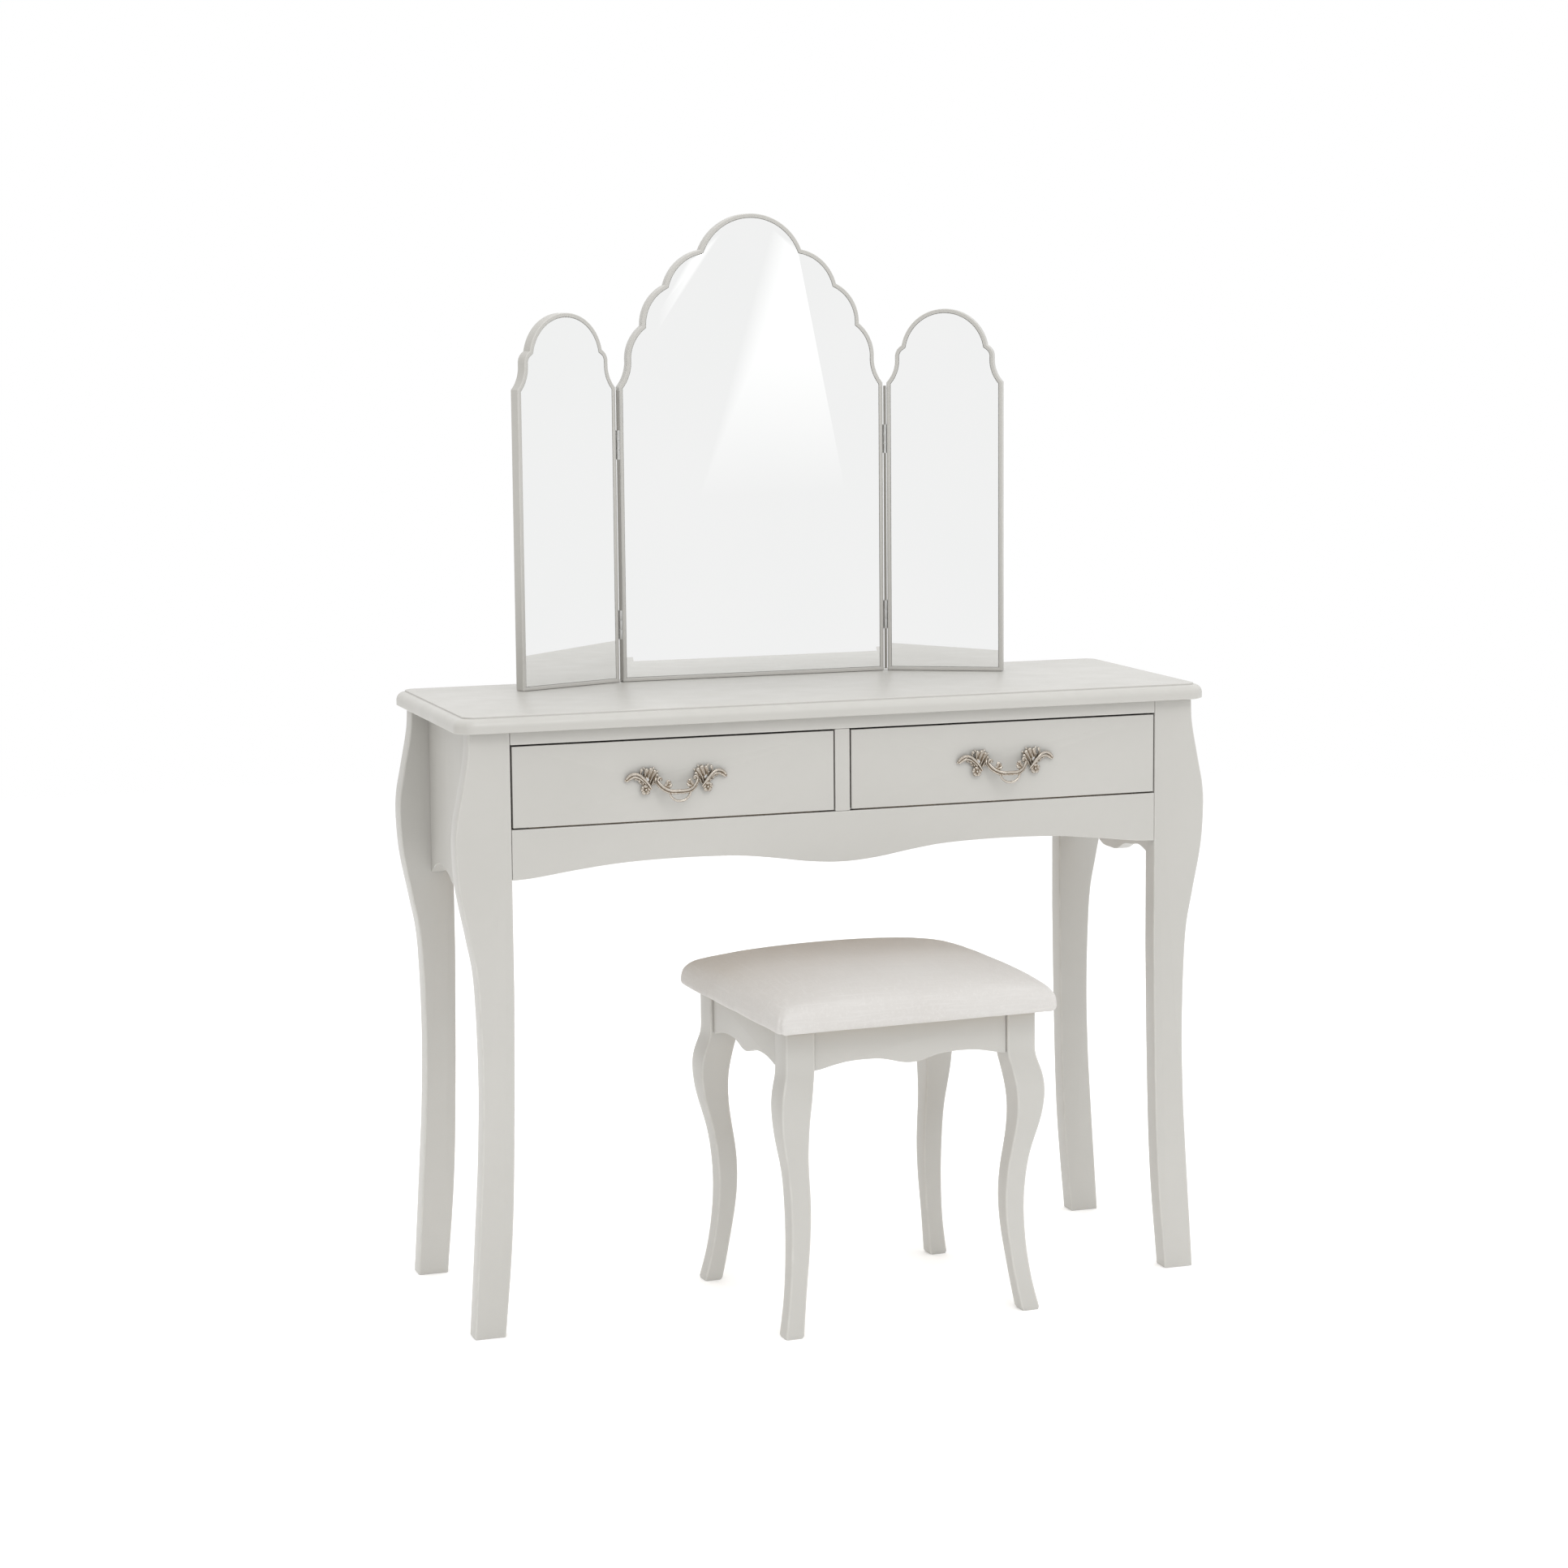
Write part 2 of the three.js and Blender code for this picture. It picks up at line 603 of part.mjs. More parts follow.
// A panel's outline: a plain foot and sides up to the shoulders, then scallops up to a round crest.
// Each scallop is [in from the side, above the shoulder, swell of the stretch that ends there].
function panelOutline(half, scallops, crestRise) {
  const right = scallops.map(([inwards, above, rise]) => [half - inwards, MIRROR_SHOULDER + above, rise]);
  const line = [
    [-half, 0],
    [half, 0],
    [half, MIRROR_SHOULDER],
  ];
  let last = line[2];
  const go = (next, rise, steps) => {
    line.push(...bow(last, next, rise, steps));
    last = next;
  };
  for (const [x, z, rise] of right) go([x, z], rise, 5);
  go([-last[0], last[1]], crestRise, 20);
  const back = [...right].reverse();
  back.forEach(([, , rise], i) => {
    const [x, z] = i + 1 < back.length ? back[i + 1] : line[2];
    go([-x, z], rise, 5);
  });
  return line;
}

const centreOutline = panelOutline(
  MIRROR_HALF_WIDTH,
  [
    [12, 38, -4],
    [33, 79, 5],
    [65, 131.5, 9],
    [113.5, 176.5, 9.5],
  ],
  MIRROR_CREST_RISE,
);

const wingOutline = panelOutline(
  WING_WIDTH / 2,
  [
    [11.7, 32, -3.5],
    [20.7, 49, 3],
  ],
  WING_CREST_RISE,
);

// A panel board with its front face on y = face, and a shallow recess for the glass.
function panelFrame(outline, face) {
  const recess = inset(outline, FRAME_FACE);
  const depth = GLASS_SETBACK + GLASS_THICKNESS + SEAM;
  return cut(frontBoard(outline, MIRROR_THICKNESS, face), frontBoard(recess, depth + 1, face - 1));
}

function panelGlass(outline, face) {
  return frontBoard(inset(outline, FRAME_FACE + SEAM), GLASS_THICKNESS, face + GLASS_SETBACK);
}

// Half a hinge about the Z axis. Its leaf lies on the panel edge towards `side`, and it has the
// knuckles named by `spans`. The half that holds the pin has `pin` true.
function hingeHalf(side, spans, pin) {
  const edge = HINGE_GAP / 2 - HINGE_CLEARANCE;
  const reach = HINGE_PROUD + HINGE_LEAF_DEPTH;
  const leaf = block(side * (edge - HINGE_LEAF), side * edge, 0, reach, 0, HINGE_LENGTH);
  const third = HINGE_LENGTH / 3;
  const gaps = [0, 1, 2].filter((i) => !spans.includes(i));
  const swept = gaps.map((i) =>
    rodZ(
      KNUCKLE_RADIUS + HINGE_CLEARANCE,
      0,
      0,
      i * third - HINGE_CLEARANCE,
      (i + 1) * third + HINGE_CLEARANCE,
    ),
  );
  const knuckles = spans.map((i) => rodZ(KNUCKLE_RADIUS, 0, 0, i * third, (i + 1) * third));
  const body = cut(join(leaf, ...knuckles), ...swept);
  return pin
    ? join(body, rodZ(HINGE_PIN_RADIUS, 0, 0, 0, HINGE_LENGTH))
    : cut(body, rodZ(HINGE_PIN_RADIUS + HINGE_CLEARANCE, 0, 0, -1, HINGE_LENGTH + 1));
}

function addMirror(mirror) {
  const face = HINGE_PROUD;
  add(mirror, "centre_mirror_frame", panelFrame(centreOutline, face), "paint");
  add(mirror, "centre_mirror_glass", panelGlass(centreOutline, face), "glass");
  for (const side of [-1, 1]) {
    const word = side < 0 ? "left" : "right";
    const axisX = side * (MIRROR_HALF_WIDTH + HINGE_GAP / 2);
    const wing = new THREE.Group();
    const shift = side * (HINGE_GAP / 2 + WING_WIDTH / 2);
    add(wing, `${word}_wing_frame`, panelFrame(wingOutline, face).translate(shift, 0, 0), "paint");
    add(wing, `${word}_wing_glass`, panelGlass(wingOutline, face).translate(shift, 0, 0), "glass");
    HINGE_HEIGHTS.forEach((share, i) => {
      const place = i ? "upper" : "lower";
      const low = share * MIRROR_SHOULDER - HINGE_LENGTH / 2;
      const moving = hingeHalf(side, [1], false).translate(0, 0, low);
      add(wing, `${word}_${place}_hinge_wing_half`, moving, "steel");
      const fixed = hingeHalf(-side, [0, 2], true).translate(axisX, 0, low);
      add(mirror, `${word}_${place}_hinge_centre_half`, fixed, "steel");
    });
    wing.position.x = axisX;
    const fold = side < 0 ? LEFT_WING_FOLD : -RIGHT_WING_FOLD;
    wing.rotation.z = THREE.MathUtils.degToRad(fold);
    mirror.add(wing);
  }
  mirror.position.set(MIRROR_SHIFT, mirrorFace - HINGE_PROUD, TABLE_HEIGHT + SEAM);
}

// ---- Stool ----

// A stool leg's outline in one direction. Distances run out from the block's inner side.
function stoolLegOutline() {
  const size = STOOL_LEG_SIZE;
  const blockLow = stoolLegHeight - STOOL_APRON_HEIGHT;
  const outer = smooth(
    [
      [size, blockLow - 0.01 * stoolLegHeight],
      [size + 9, blockLow - 0.097 * stoolLegHeight],
      [size + 7, 0.66 * stoolLegHeight],
      [size - 5, 0.52 * stoolLegHeight],
      [size - 10, 0.39 * stoolLegHeight],
      [size - 9.5, 0.26 * stoolLegHeight],
      [size - 4, 0.12 * stoolLegHeight],
      [size + 5, 0],
    ],
    28,
  );
  const inner = smooth(
    [
      [size - 20, 0],
      [size - 27, 0.12 * stoolLegHeight],
      [size - 35.5, 0.3 * stoolLegHeight],
      [size - 36, 0.44 * stoolLegHeight],
      [size - 29, 0.61 * stoolLegHeight],
      [size - 29.5, 0.73 * stoolLegHeight],
      [0, blockLow],
    ],
    24,
  );
  return [[size, stoolLegHeight], ...outer, ...inner, [0, stoolLegHeight]];
}

// The leg is sawn to the same outline from the front and from the side.
function stoolLeg(sideX, sideY) {
  const reach = 2 * STOOL_LEG_SIZE;
  const innerX = stoolLegOuterX - STOOL_LEG_SIZE;
  const innerY = stoolLegOuterY - STOOL_LEG_SIZE;
  const fromFront = stoolLegOutline().map(([out, z]) => [sideX * (innerX + out), z]);
  const fromSide = stoolLegOutline().map(([out, z]) => [sideY * (innerY + out), z]);
  const blankStart = (side, inner) => {
    const near = inner - STOOL_LEG_SIZE / 2;
    return side < 0 ? -near - reach : near;
  };
  const startY = blankStart(sideY, innerY);
  const startX = blankStart(sideX, innerX);
  return common(frontBoard(fromFront, reach, startY), sideBoard(fromSide, reach, startX));
}

function roundedRectangle(halfX, halfY, radius, steps) {
  return [
    [1, -1],
    [1, 1],
    [-1, 1],
    [-1, -1],
  ].flatMap(([sx, sy], corner) =>
    Array.from({ length: steps + 1 }, (_, i) => {
      const angle = (corner - 1 + i / steps) * (Math.PI / 2);
      return [
        sx * (halfX - radius) + radius * Math.cos(angle),
        sy * (halfY - radius) + radius * Math.sin(angle),
      ];
    }),
  );
}

// The seat board's outline, or a slightly larger one for the pocket that takes it.
function seatBoard(margin, thickness, low) {
  const outline = roundedRectangle(
    cushionHalfX - margin,
    cushionHalfY - margin,
    CUSHION_CORNER - margin,
    4,
  );
  return flatBoard(outline, thickness, low);
}

// The cushion wraps over the edge of the seat board, so its underside has a pocket for the board.
function cushion() {
  const low = stoolLegHeight + SEAM;
  const flat = roundedRectangle(
    cushionHalfX - CUSHION_CROWN,
    cushionHalfY - CUSHION_CROWN,
    CUSHION_CORNER - CUSHION_CROWN,
    4,
  );
  const shape = new THREE.Shape(flat.map(([x, y]) => new THREE.Vector2(x, y)));
  const crowned = new THREE.ExtrudeGeometry(shape, {
    depth: CUSHION_HEIGHT,
    bevelThickness: CUSHION_CROWN,
    bevelSize: CUSHION_CROWN,
    bevelSegments: 4,
  }).translate(0, 0, low - CUSHION_CROWN);
  const reach = cushionHalfX + cushionHalfY;
  const keep = block(-reach, reach, -reach, reach, low, low + CUSHION_HEIGHT);
  const pocket = seatBoard(SEAT_BOARD_MARGIN, SEAT_BOARD_THICKNESS + SEAM + 1, low - 1);
  return cut(common(crowned, keep), pocket);
}

function addStool(stool) {
  for (const sideY of [-1, 1]) {
    for (const sideX of [-1, 1]) {
      const name = `stool_${sideY < 0 ? "front" : "back"}_${sideX < 0 ? "left" : "right"}_leg`;
      add(stool, name, stoolLeg(sideX, sideY), "paint");
    }
  }
  const reachX = stoolLegOuterX - STOOL_LEG_SIZE - SEAM;
  const reachY = stoolLegOuterY - STOOL_LEG_SIZE - SEAM;
  const longEdge = apronOutline(reachX, stoolLegHeight, STOOL_APRON_HEIGHT, STOOL_APRON_ARCH);
  const shortEdge = apronOutline(reachY, stoolLegHeight, STOOL_APRON_HEIGHT, STOOL_APRON_ARCH);
  const faceY = stoolLegOuterY - STOOL_APRON_INSET;
  const faceX = stoolLegOuterX - STOOL_APRON_INSET;
  const thickness = STOOL_APRON_THICKNESS;
  add(stool, "stool_front_apron", frontBoard(longEdge, thickness, -faceY), "paint");
  add(stool, "stool_back_apron", frontBoard(longEdge, thickness, faceY - thickness), "paint");
  add(stool, "stool_left_apron", sideBoard(shortEdge, thickness, -faceX), "paint");
  add(stool, "stool_right_apron", sideBoard(shortEdge, thickness, faceX - thickness), "paint");
  const board = seatBoard(SEAT_BOARD_MARGIN + SEAM, SEAT_BOARD_THICKNESS, stoolLegHeight + SEAM);
  add(stool, "seat_board", board, "wood");
  add(stool, "seat_cushion", cushion(), "linen");
  stool.position.set(STOOL_X, STOOL_Y, 0);
  stool.rotation.z = THREE.MathUtils.degToRad(STOOL_TURN);
}

// ---- Assembly ----

const dressingTable = new THREE.Group();
add(dressingTable, "table_top", topSlab(), "paint");
addLegs(dressingTable);
addFrame(dressingTable);
dressingTable.add(drawer(-1), drawer(1));
const mirror = new THREE.Group();
addMirror(mirror);
const stool = new THREE.Group();
addStool(stool);
dressingTable.add(mirror, stool);

// The origin is the middle of the whole object's footprint.
const extent = new THREE.Box3().setFromObject(dressingTable, true);
dressingTable.position.x -= (extent.min.x + extent.max.x) / 2;
dressingTable.position.y -= (extent.min.y + extent.max.y) / 2;

export default dressingTable;
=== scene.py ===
# %% [markdown]
# # A painted dressing table with a triple mirror and a stool
# This lesson dresses a plain working model. The working model already has every board, drawer and hinge
# in its place, so nothing here is fitted by eye: each new piece starts from the board that it stands for.
# Everything is in metres, +Z is up and the drawers face -Y.

# %% Load the working model
import json
import math

import bmesh
import bpy
import numpy as np
from mathutils import Matrix, Vector

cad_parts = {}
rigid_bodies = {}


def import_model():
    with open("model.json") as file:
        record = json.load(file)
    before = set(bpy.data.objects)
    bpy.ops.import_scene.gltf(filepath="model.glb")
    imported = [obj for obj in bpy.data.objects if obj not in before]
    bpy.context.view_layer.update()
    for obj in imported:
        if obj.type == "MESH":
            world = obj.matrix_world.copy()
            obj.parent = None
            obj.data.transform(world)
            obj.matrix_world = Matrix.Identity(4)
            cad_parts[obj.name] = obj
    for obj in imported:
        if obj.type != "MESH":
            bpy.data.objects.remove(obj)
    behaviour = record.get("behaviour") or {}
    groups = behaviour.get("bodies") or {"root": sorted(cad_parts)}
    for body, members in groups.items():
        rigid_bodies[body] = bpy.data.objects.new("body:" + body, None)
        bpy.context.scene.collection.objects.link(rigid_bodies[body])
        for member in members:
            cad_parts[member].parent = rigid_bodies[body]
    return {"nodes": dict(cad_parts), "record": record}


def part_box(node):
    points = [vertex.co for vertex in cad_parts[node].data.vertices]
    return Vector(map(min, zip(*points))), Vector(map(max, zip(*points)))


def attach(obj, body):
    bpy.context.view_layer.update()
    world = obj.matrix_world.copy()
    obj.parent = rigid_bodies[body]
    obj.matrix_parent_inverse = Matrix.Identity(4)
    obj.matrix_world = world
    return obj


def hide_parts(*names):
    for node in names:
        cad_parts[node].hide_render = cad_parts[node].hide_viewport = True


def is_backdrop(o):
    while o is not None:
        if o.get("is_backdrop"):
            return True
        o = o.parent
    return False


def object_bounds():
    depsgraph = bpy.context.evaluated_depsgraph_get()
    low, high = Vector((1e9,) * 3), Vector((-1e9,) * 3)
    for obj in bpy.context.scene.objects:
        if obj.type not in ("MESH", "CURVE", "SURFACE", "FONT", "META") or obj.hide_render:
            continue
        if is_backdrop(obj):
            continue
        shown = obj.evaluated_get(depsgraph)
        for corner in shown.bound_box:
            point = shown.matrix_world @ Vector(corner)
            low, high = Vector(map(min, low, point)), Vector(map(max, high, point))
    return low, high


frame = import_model()
nodes = frame["nodes"]
body_of = {node: body for body, names in frame["record"]["behaviour"]["bodies"].items() for node in names}
slot_of = {part["node"]: part["material_slot"] for part in frame["record"]["subparts"]}
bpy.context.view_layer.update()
print("working model:", len(nodes), "parts in", len(set(body_of.values())), "moving bodies")

# %% [markdown]
# ## Where the viewer stands
# A long lens from five metres away keeps upright lines nearly parallel, as in a catalogue picture of
# furniture. The camera is built from angles rather than by dragging it, so that it can be stated exactly:
# a little to the left of straight on, and a little above the table.

# %% Camera
LENS = 81.15
TURN, RISE, LEAN = (math.radians(angle) for angle in (-18.6, 8.0, -0.5))
LOOK_AT = Vector((0.0988, 0.4281, 0.6007))
STAND_OFF = 5.0

towards_viewer = Vector((math.sin(TURN) * math.cos(RISE), -math.cos(TURN) * math.cos(RISE), math.sin(RISE)))
level = Vector((math.cos(TURN), math.sin(TURN), 0.0))
across = level * math.cos(LEAN) + towards_viewer.cross(level) * math.sin(LEAN)
camera = bpy.data.objects.new("viewer", bpy.data.cameras.new("viewer"))
camera.data.lens = LENS
camera.data.sensor_width = 36
turn = Matrix((across, towards_viewer.cross(across), towards_viewer)).transposed().to_4x4()
camera.matrix_world = Matrix.Translation(LOOK_AT + towards_viewer * STAND_OFF) @ turn
bpy.context.scene.collection.objects.link(camera)
bpy.context.scene.camera = camera
print("camera at", [round(c, 3) for c in camera.matrix_world.translation])

# %% [markdown]
# ## The studio
# Product pictures of pale furniture are lit from all round by white walls, with one lamp to give the edges
# a direction. A white sky does the walls' work, and it is also what the mirrors show. One square lamp in
# front, well above the mirror, makes the table top the brightest surface and drops a short soft shadow
# below each pull. The ceiling is the brightest wall. The one on the left is cream and further off, so left
# sides fall into a light warm shade.

# %% Floor, sky and lamps
bpy.context.scene.view_settings.view_transform = "Standard"
FLOOR_RADIUS = 9.0
floor_mesh = bpy.data.meshes.new("studio_floor")
FLOOR_SIDES = 64
angles = np.linspace(0, 2 * math.pi, FLOOR_SIDES, endpoint=False)
floor_rim = [(FLOOR_RADIUS * math.cos(a), FLOOR_RADIUS * math.sin(a), 0.0) for a in angles]
floor_mesh.from_pydata(floor_rim, [], [tuple(range(FLOOR_SIDES))])
floor = bpy.data.objects.new("studio_floor", floor_mesh)
bpy.context.scene.collection.objects.link(floor)
floor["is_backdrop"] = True

sky = bpy.data.worlds.new("white_studio")
sky.use_nodes = True
bpy.context.scene.world = sky


def add_lamp(name, place, aim, size, watts):
    """A square lamp at `place` that points at `aim`."""
    lamp = bpy.data.objects.new(name, bpy.data.lights.new(name, "AREA"))
    lamp.data.shape = "SQUARE"
    lamp.data.size = size
    lamp.data.energy = watts
    lamp.location = place
    lamp.rotation_euler = (Vector(aim) - Vector(place)).to_track_quat("-Z", "Y").to_euler()
    bpy.context.scene.collection.objects.link(lamp)
    return lamp


key = add_lamp("key", (0.3, -3.1, 3.5), (0.0, 0.0, 0.6), 1.2, 25)
print("studio: a", key.data.energy, "W lamp and a white sky")

# %% [markdown]
# ## How a finish is written
# A finish is a small network of nodes that ends in one shader. Each network starts from the piece's own
# coordinates, so the pattern stays with the piece when a drawer slides or a wing turns, and it needs no
# unwrapping. Short helpers keep the networks readable: one adds a node and wires it up, and the others are
# named for what the node does, such as a noise, a ramp of colours or a bump.


# %% Helpers for finishes
def add_node(tree, kind, wires=None, **settings):
    """A new node. `wires` maps an input's name or number to a value or to the socket that feeds it."""
    made = tree.nodes.new(kind)
    for key, value in settings.items():
        setattr(made, key, value)
    for key, value in (wires or {}).items():
        if isinstance(value, bpy.types.NodeSocket):
            tree.links.new(value, made.inputs[key])
        else:
            made.inputs[key].default_value = value
    return made


def new_finish(name, colour, **numbers):
    """A material, its node tree, its shader and the socket with the piece's own coordinates."""
    finish = bpy.data.materials.new(name)
    finish.use_nodes = True
    finish.diffuse_color = (*colour, 1.0)
    tree = finish.node_tree
    shader = tree.nodes["Principled BSDF"]
    for key, value in numbers.items():
        shader.inputs[key.replace("_", " ")].default_value = value
    place = add_node(tree, "ShaderNodeTexCoord").outputs["Object"]
    return finish, tree, shader, place


def noise(tree, place, scale, detail=3.0, roughness=0.5, distortion=0.0):
    wires = {"Vector": place, "Scale": scale, "Detail": detail, "Roughness": roughness, "Distortion": distortion}
    return add_node(tree, "ShaderNodeTexNoise", wires).outputs[0]


def stretched(tree, place, x, y, z):
    return add_node(tree, "ShaderNodeMapping", {"Vector": place, "Scale": (x, y, z)}).outputs[0]


def ramp(tree, factor, *stops):
    """Colours along a 0 to 1 scale. Each stop is (position, (r, g, b))."""
    made = add_node(tree, "ShaderNodeValToRGB", {0: factor})
    elements = made.color_ramp.elements
    while len(elements) < len(stops):
        elements.new(1.0)
    for element, (position, colour) in zip(elements, stops):
        element.position = position
        element.color = (*colour, 1.0)
    return made.outputs[0]


def spread(tree, factor, low, high, from_low=0.3, from_high=0.7):
    wires = {"Value": factor, "From Min": from_low, "From Max": from_high, "To Min": low, "To Max": high}
    return add_node(tree, "ShaderNodeMapRange", wires).outputs[0]


def blend(tree, factor, first, second):
    return add_node(tree, "ShaderNodeMix", {0: factor, 6: first, 7: second}, data_type="RGBA").outputs[2]


def calc(tree, how, first, second=0.0):
    return add_node(tree, "ShaderNodeMath", {0: first, 1: second}, operation=how).outputs[0]


def bump(tree, height, depth, strength=1.0, under=None):
    """A bump `depth` metres deep, on top of the bump `under`."""
    wires = {"Strength": strength, "Distance": depth, "Height": height}
    if under is not None:
        wires["Normal"] = under
    return add_node(tree, "ShaderNodeBump", wires).outputs[0]


print("helpers: 9 for nodes")

# %% [markdown]
# The sky is a finish too. Its brightness depends on the direction that is looked in, the way the walls of a
# studio differ: white behind the table, a little less in front, dim and cream at the far left, and brightest
# overhead. It could be built as real walls, but a sky costs nothing to trace.

# %% The studio's walls
CREAM = (1.0, 0.955, 0.87, 1.0)
tree = sky.node_tree
backdrop = tree.nodes["Background"]
sides = add_node(tree, "ShaderNodeSeparateXYZ", {0: add_node(tree, "ShaderNodeTexCoord").outputs["Generated"]})
walls = spread(tree, sides.outputs["X"], 0.40, 0.92, -1.0, -0.68)
behind = spread(tree, sides.outputs["Y"], 0.0, 1.0, 0.2, 0.55)
ceiling = spread(tree, sides.outputs["Z"], 1.0, 1.62, 0.15, 0.9)
strength = calc(tree, "MULTIPLY", calc(tree, "MAXIMUM", walls, behind), ceiling)
tree.links.new(strength, backdrop.inputs["Strength"])
cream = spread(tree, sides.outputs["X"], 1.0, 0.0, -1.0, -0.68)
tree.links.new(blend(tree, cream, (1.0, 1.0, 1.0, 1.0), CREAM), backdrop.inputs["Color"])
print("sky: 1.0 behind the table, 0.92 in front, 0.4 and cream at the far left, 1.62 times as much overhead")

# %% [markdown]
# ## Satin paint
# The boards are sprayed with a warm grey satin lacquer. Up close such paint has a very fine orange peel,
# slow drifts of tone where the coat is thicker, and a few specks. Along the softened edges the paint is a
# touch lighter and shinier: partly because the coat thins out and is rubbed by hands there, and partly as a
# painted highlight where the rounded edge catches the light. The boards carry that as a number called
# "edge", which is written when they are made. A second number marks the narrow sides of the drawer fronts
# and rails and turns the paint there almost black: painted shade for the deep gaps between the parts.

# %% Satin paint
PAINT = (0.455, 0.446, 0.420)
PAINT_LIGHT = (0.478, 0.469, 0.443)
# lighter paint along the edges: rubbed wear plus a painted highlight
PAINT_WORN_AND_HIGHLIT = (0.60, 0.59, 0.56)

paint, tree, shader, place = new_finish("satin_paint", PAINT, Specular_IOR_Level=0.45, Coat_Weight=0.06)
shader.inputs["Coat Roughness"].default_value = 0.25
drift = noise(tree, place, 3.2, detail=4.0)
mottle = noise(tree, place, 60.0, detail=4.0, roughness=0.6)
tone = ramp(tree, drift, (0.35, PAINT), (0.65, PAINT_LIGHT))
tone = blend(tree, spread(tree, mottle, 0.0, 0.10), tone, (0.43, 0.418, 0.388, 1.0))
# the edge number lightens and polishes the rounded edges: wear, and a painted highlight where they catch the light
edge = add_node(tree, "ShaderNodeAttribute", attribute_name="edge").outputs["Fac"]
wear_and_highlight = calc(tree, "MULTIPLY", edge, spread(tree, noise(tree, place, 45.0), 0.25, 0.7))
tone = blend(tree, wear_and_highlight, tone, (*PAINT_WORN_AND_HIGHLIT, 1.0))
# painted shade: the narrow sides in the gaps between parts are turned almost black
gap_shade = add_node(tree, "ShaderNodeAttribute", attribute_name="gap_shade").outputs["Fac"]
tree.links.new(blend(tree, gap_shade, tone, (0.075, 0.065, 0.05, 1.0)), shader.inputs["Base Color"])
smear = spread(tree, noise(tree, stretched(tree, place, 1.0, 1.0, 0.3), 22.0, detail=5.0), 0.36, 0.47)
tree.links.new(calc(tree, "SUBTRACT", smear, calc(tree, "MULTIPLY", wear_and_highlight, 0.08)), shader.inputs["Roughness"])
peel = bump(tree, noise(tree, place, 520.0, detail=2.0), 0.00007, 0.35)
specks = add_node(tree, "ShaderNodeTexVoronoi", {"Vector": place, "Scale": 140.0}).outputs["Distance"]
specks = spread(tree, specks, 1.0, 0.0, 0.02, 0.07)
tree.links.new(bump(tree, specks, 0.00008, 0.3, under=peel), shader.inputs["Normal"])
print("paint:", len(tree.nodes), "nodes")

# %% [markdown]
# ## Bare wood
# Drawer boxes, runners and the seat board are left unpainted. Their grain is one noise stretched hard along
# the board, so it draws long fibres, and a second, wider one for the growth bands. The same fibres raise a
# slight bump and make the wood duller between them.

# %% Bare wood
wood, tree, shader, place = new_finish("bare_wood", (0.62, 0.50, 0.34), Specular_IOR_Level=0.3)
fibres = noise(tree, stretched(tree, place, 160.0, 9.0, 190.0), 1.0, detail=6.0, roughness=0.65)
bands = noise(tree, stretched(tree, place, 22.0, 1.6, 26.0), 1.0, detail=3.0, distortion=0.6)
pale = ramp(tree, bands, (0.3, (0.70, 0.58, 0.42)), (0.7, (0.54, 0.41, 0.27)))
dark = blend(tree, spread(tree, fibres, 0.0, 0.55), pale, (0.42, 0.30, 0.18, 1.0))
tree.links.new(dark, shader.inputs["Base Color"])
tree.links.new(spread(tree, fibres, 0.58, 0.74), shader.inputs["Roughness"])
tree.links.new(bump(tree, fibres, 0.00015, 0.5), shader.inputs["Normal"])
print("wood:", len(tree.nodes), "nodes")

# %% [markdown]
# ## Mirror glass, silver and steel
# Silvered glass is a metal with almost no roughness; a faint haze keeps it from looking computed. The
# cast pulls are plated and then stained: brown stays in the hollows and the high places are wiped bright.
# That brown is partly the patina and partly painted shade that darkens the hollows. The hollows are known
# from a number called "hollow" that is measured on the finished casting. The hinge steel is drawn metal
# with fine lengthwise scratches.

# %% Mirror glass
glass, tree, shader, place = new_finish("silvered_glass", (0.95, 0.955, 0.95), Metallic=1.0)
haze = noise(tree, place, 4.0, detail=5.0)
silvering = ramp(tree, haze, (0.3, (0.945, 0.952, 0.948)), (0.7, (0.96, 0.962, 0.96)))
tree.links.new(silvering, shader.inputs["Base Color"])
dust = noise(tree, place, 90.0, detail=6.0, roughness=0.7)
tree.links.new(spread(tree, dust, 0.004, 0.022, 0.4, 0.75), shader.inputs["Roughness"])
ripple = noise(tree, place, 2.5, detail=1.0)
tree.links.new(bump(tree, ripple, 0.00002, 0.4), shader.inputs["Normal"])

# %% Silver with patina and painted shade in its hollows
silver, tree, shader, place = new_finish("silver_with_patina_and_shade", (0.66, 0.61, 0.55), Metallic=1.0)
hollow = add_node(tree, "ShaderNodeAttribute", attribute_name="hollow").outputs["Fac"]
cloud = noise(tree, place, 260.0, detail=5.0, roughness=0.6)
plate = ramp(tree, cloud, (0.3, (0.44, 0.40, 0.35)), (0.7, (0.58, 0.54, 0.485)))
# brown in the hollows: patina, and painted shade that darkens the recesses
patina_and_shade = calc(tree, "ADD", hollow, spread(tree, cloud, -0.10, 0.14))
patina_and_shade = spread(tree, patina_and_shade, 0.0, 1.0, 0.30, 0.60)
tree.links.new(blend(tree, patina_and_shade, plate, (0.19, 0.145, 0.10, 1.0)), shader.inputs["Base Color"])
tree.links.new(spread(tree, patina_and_shade, 0.24, 0.60, 0.0, 1.0), shader.inputs["Roughness"])
tree.links.new(bump(tree, noise(tree, place, 900.0, detail=3.0), 0.00006, 0.5), shader.inputs["Normal"])

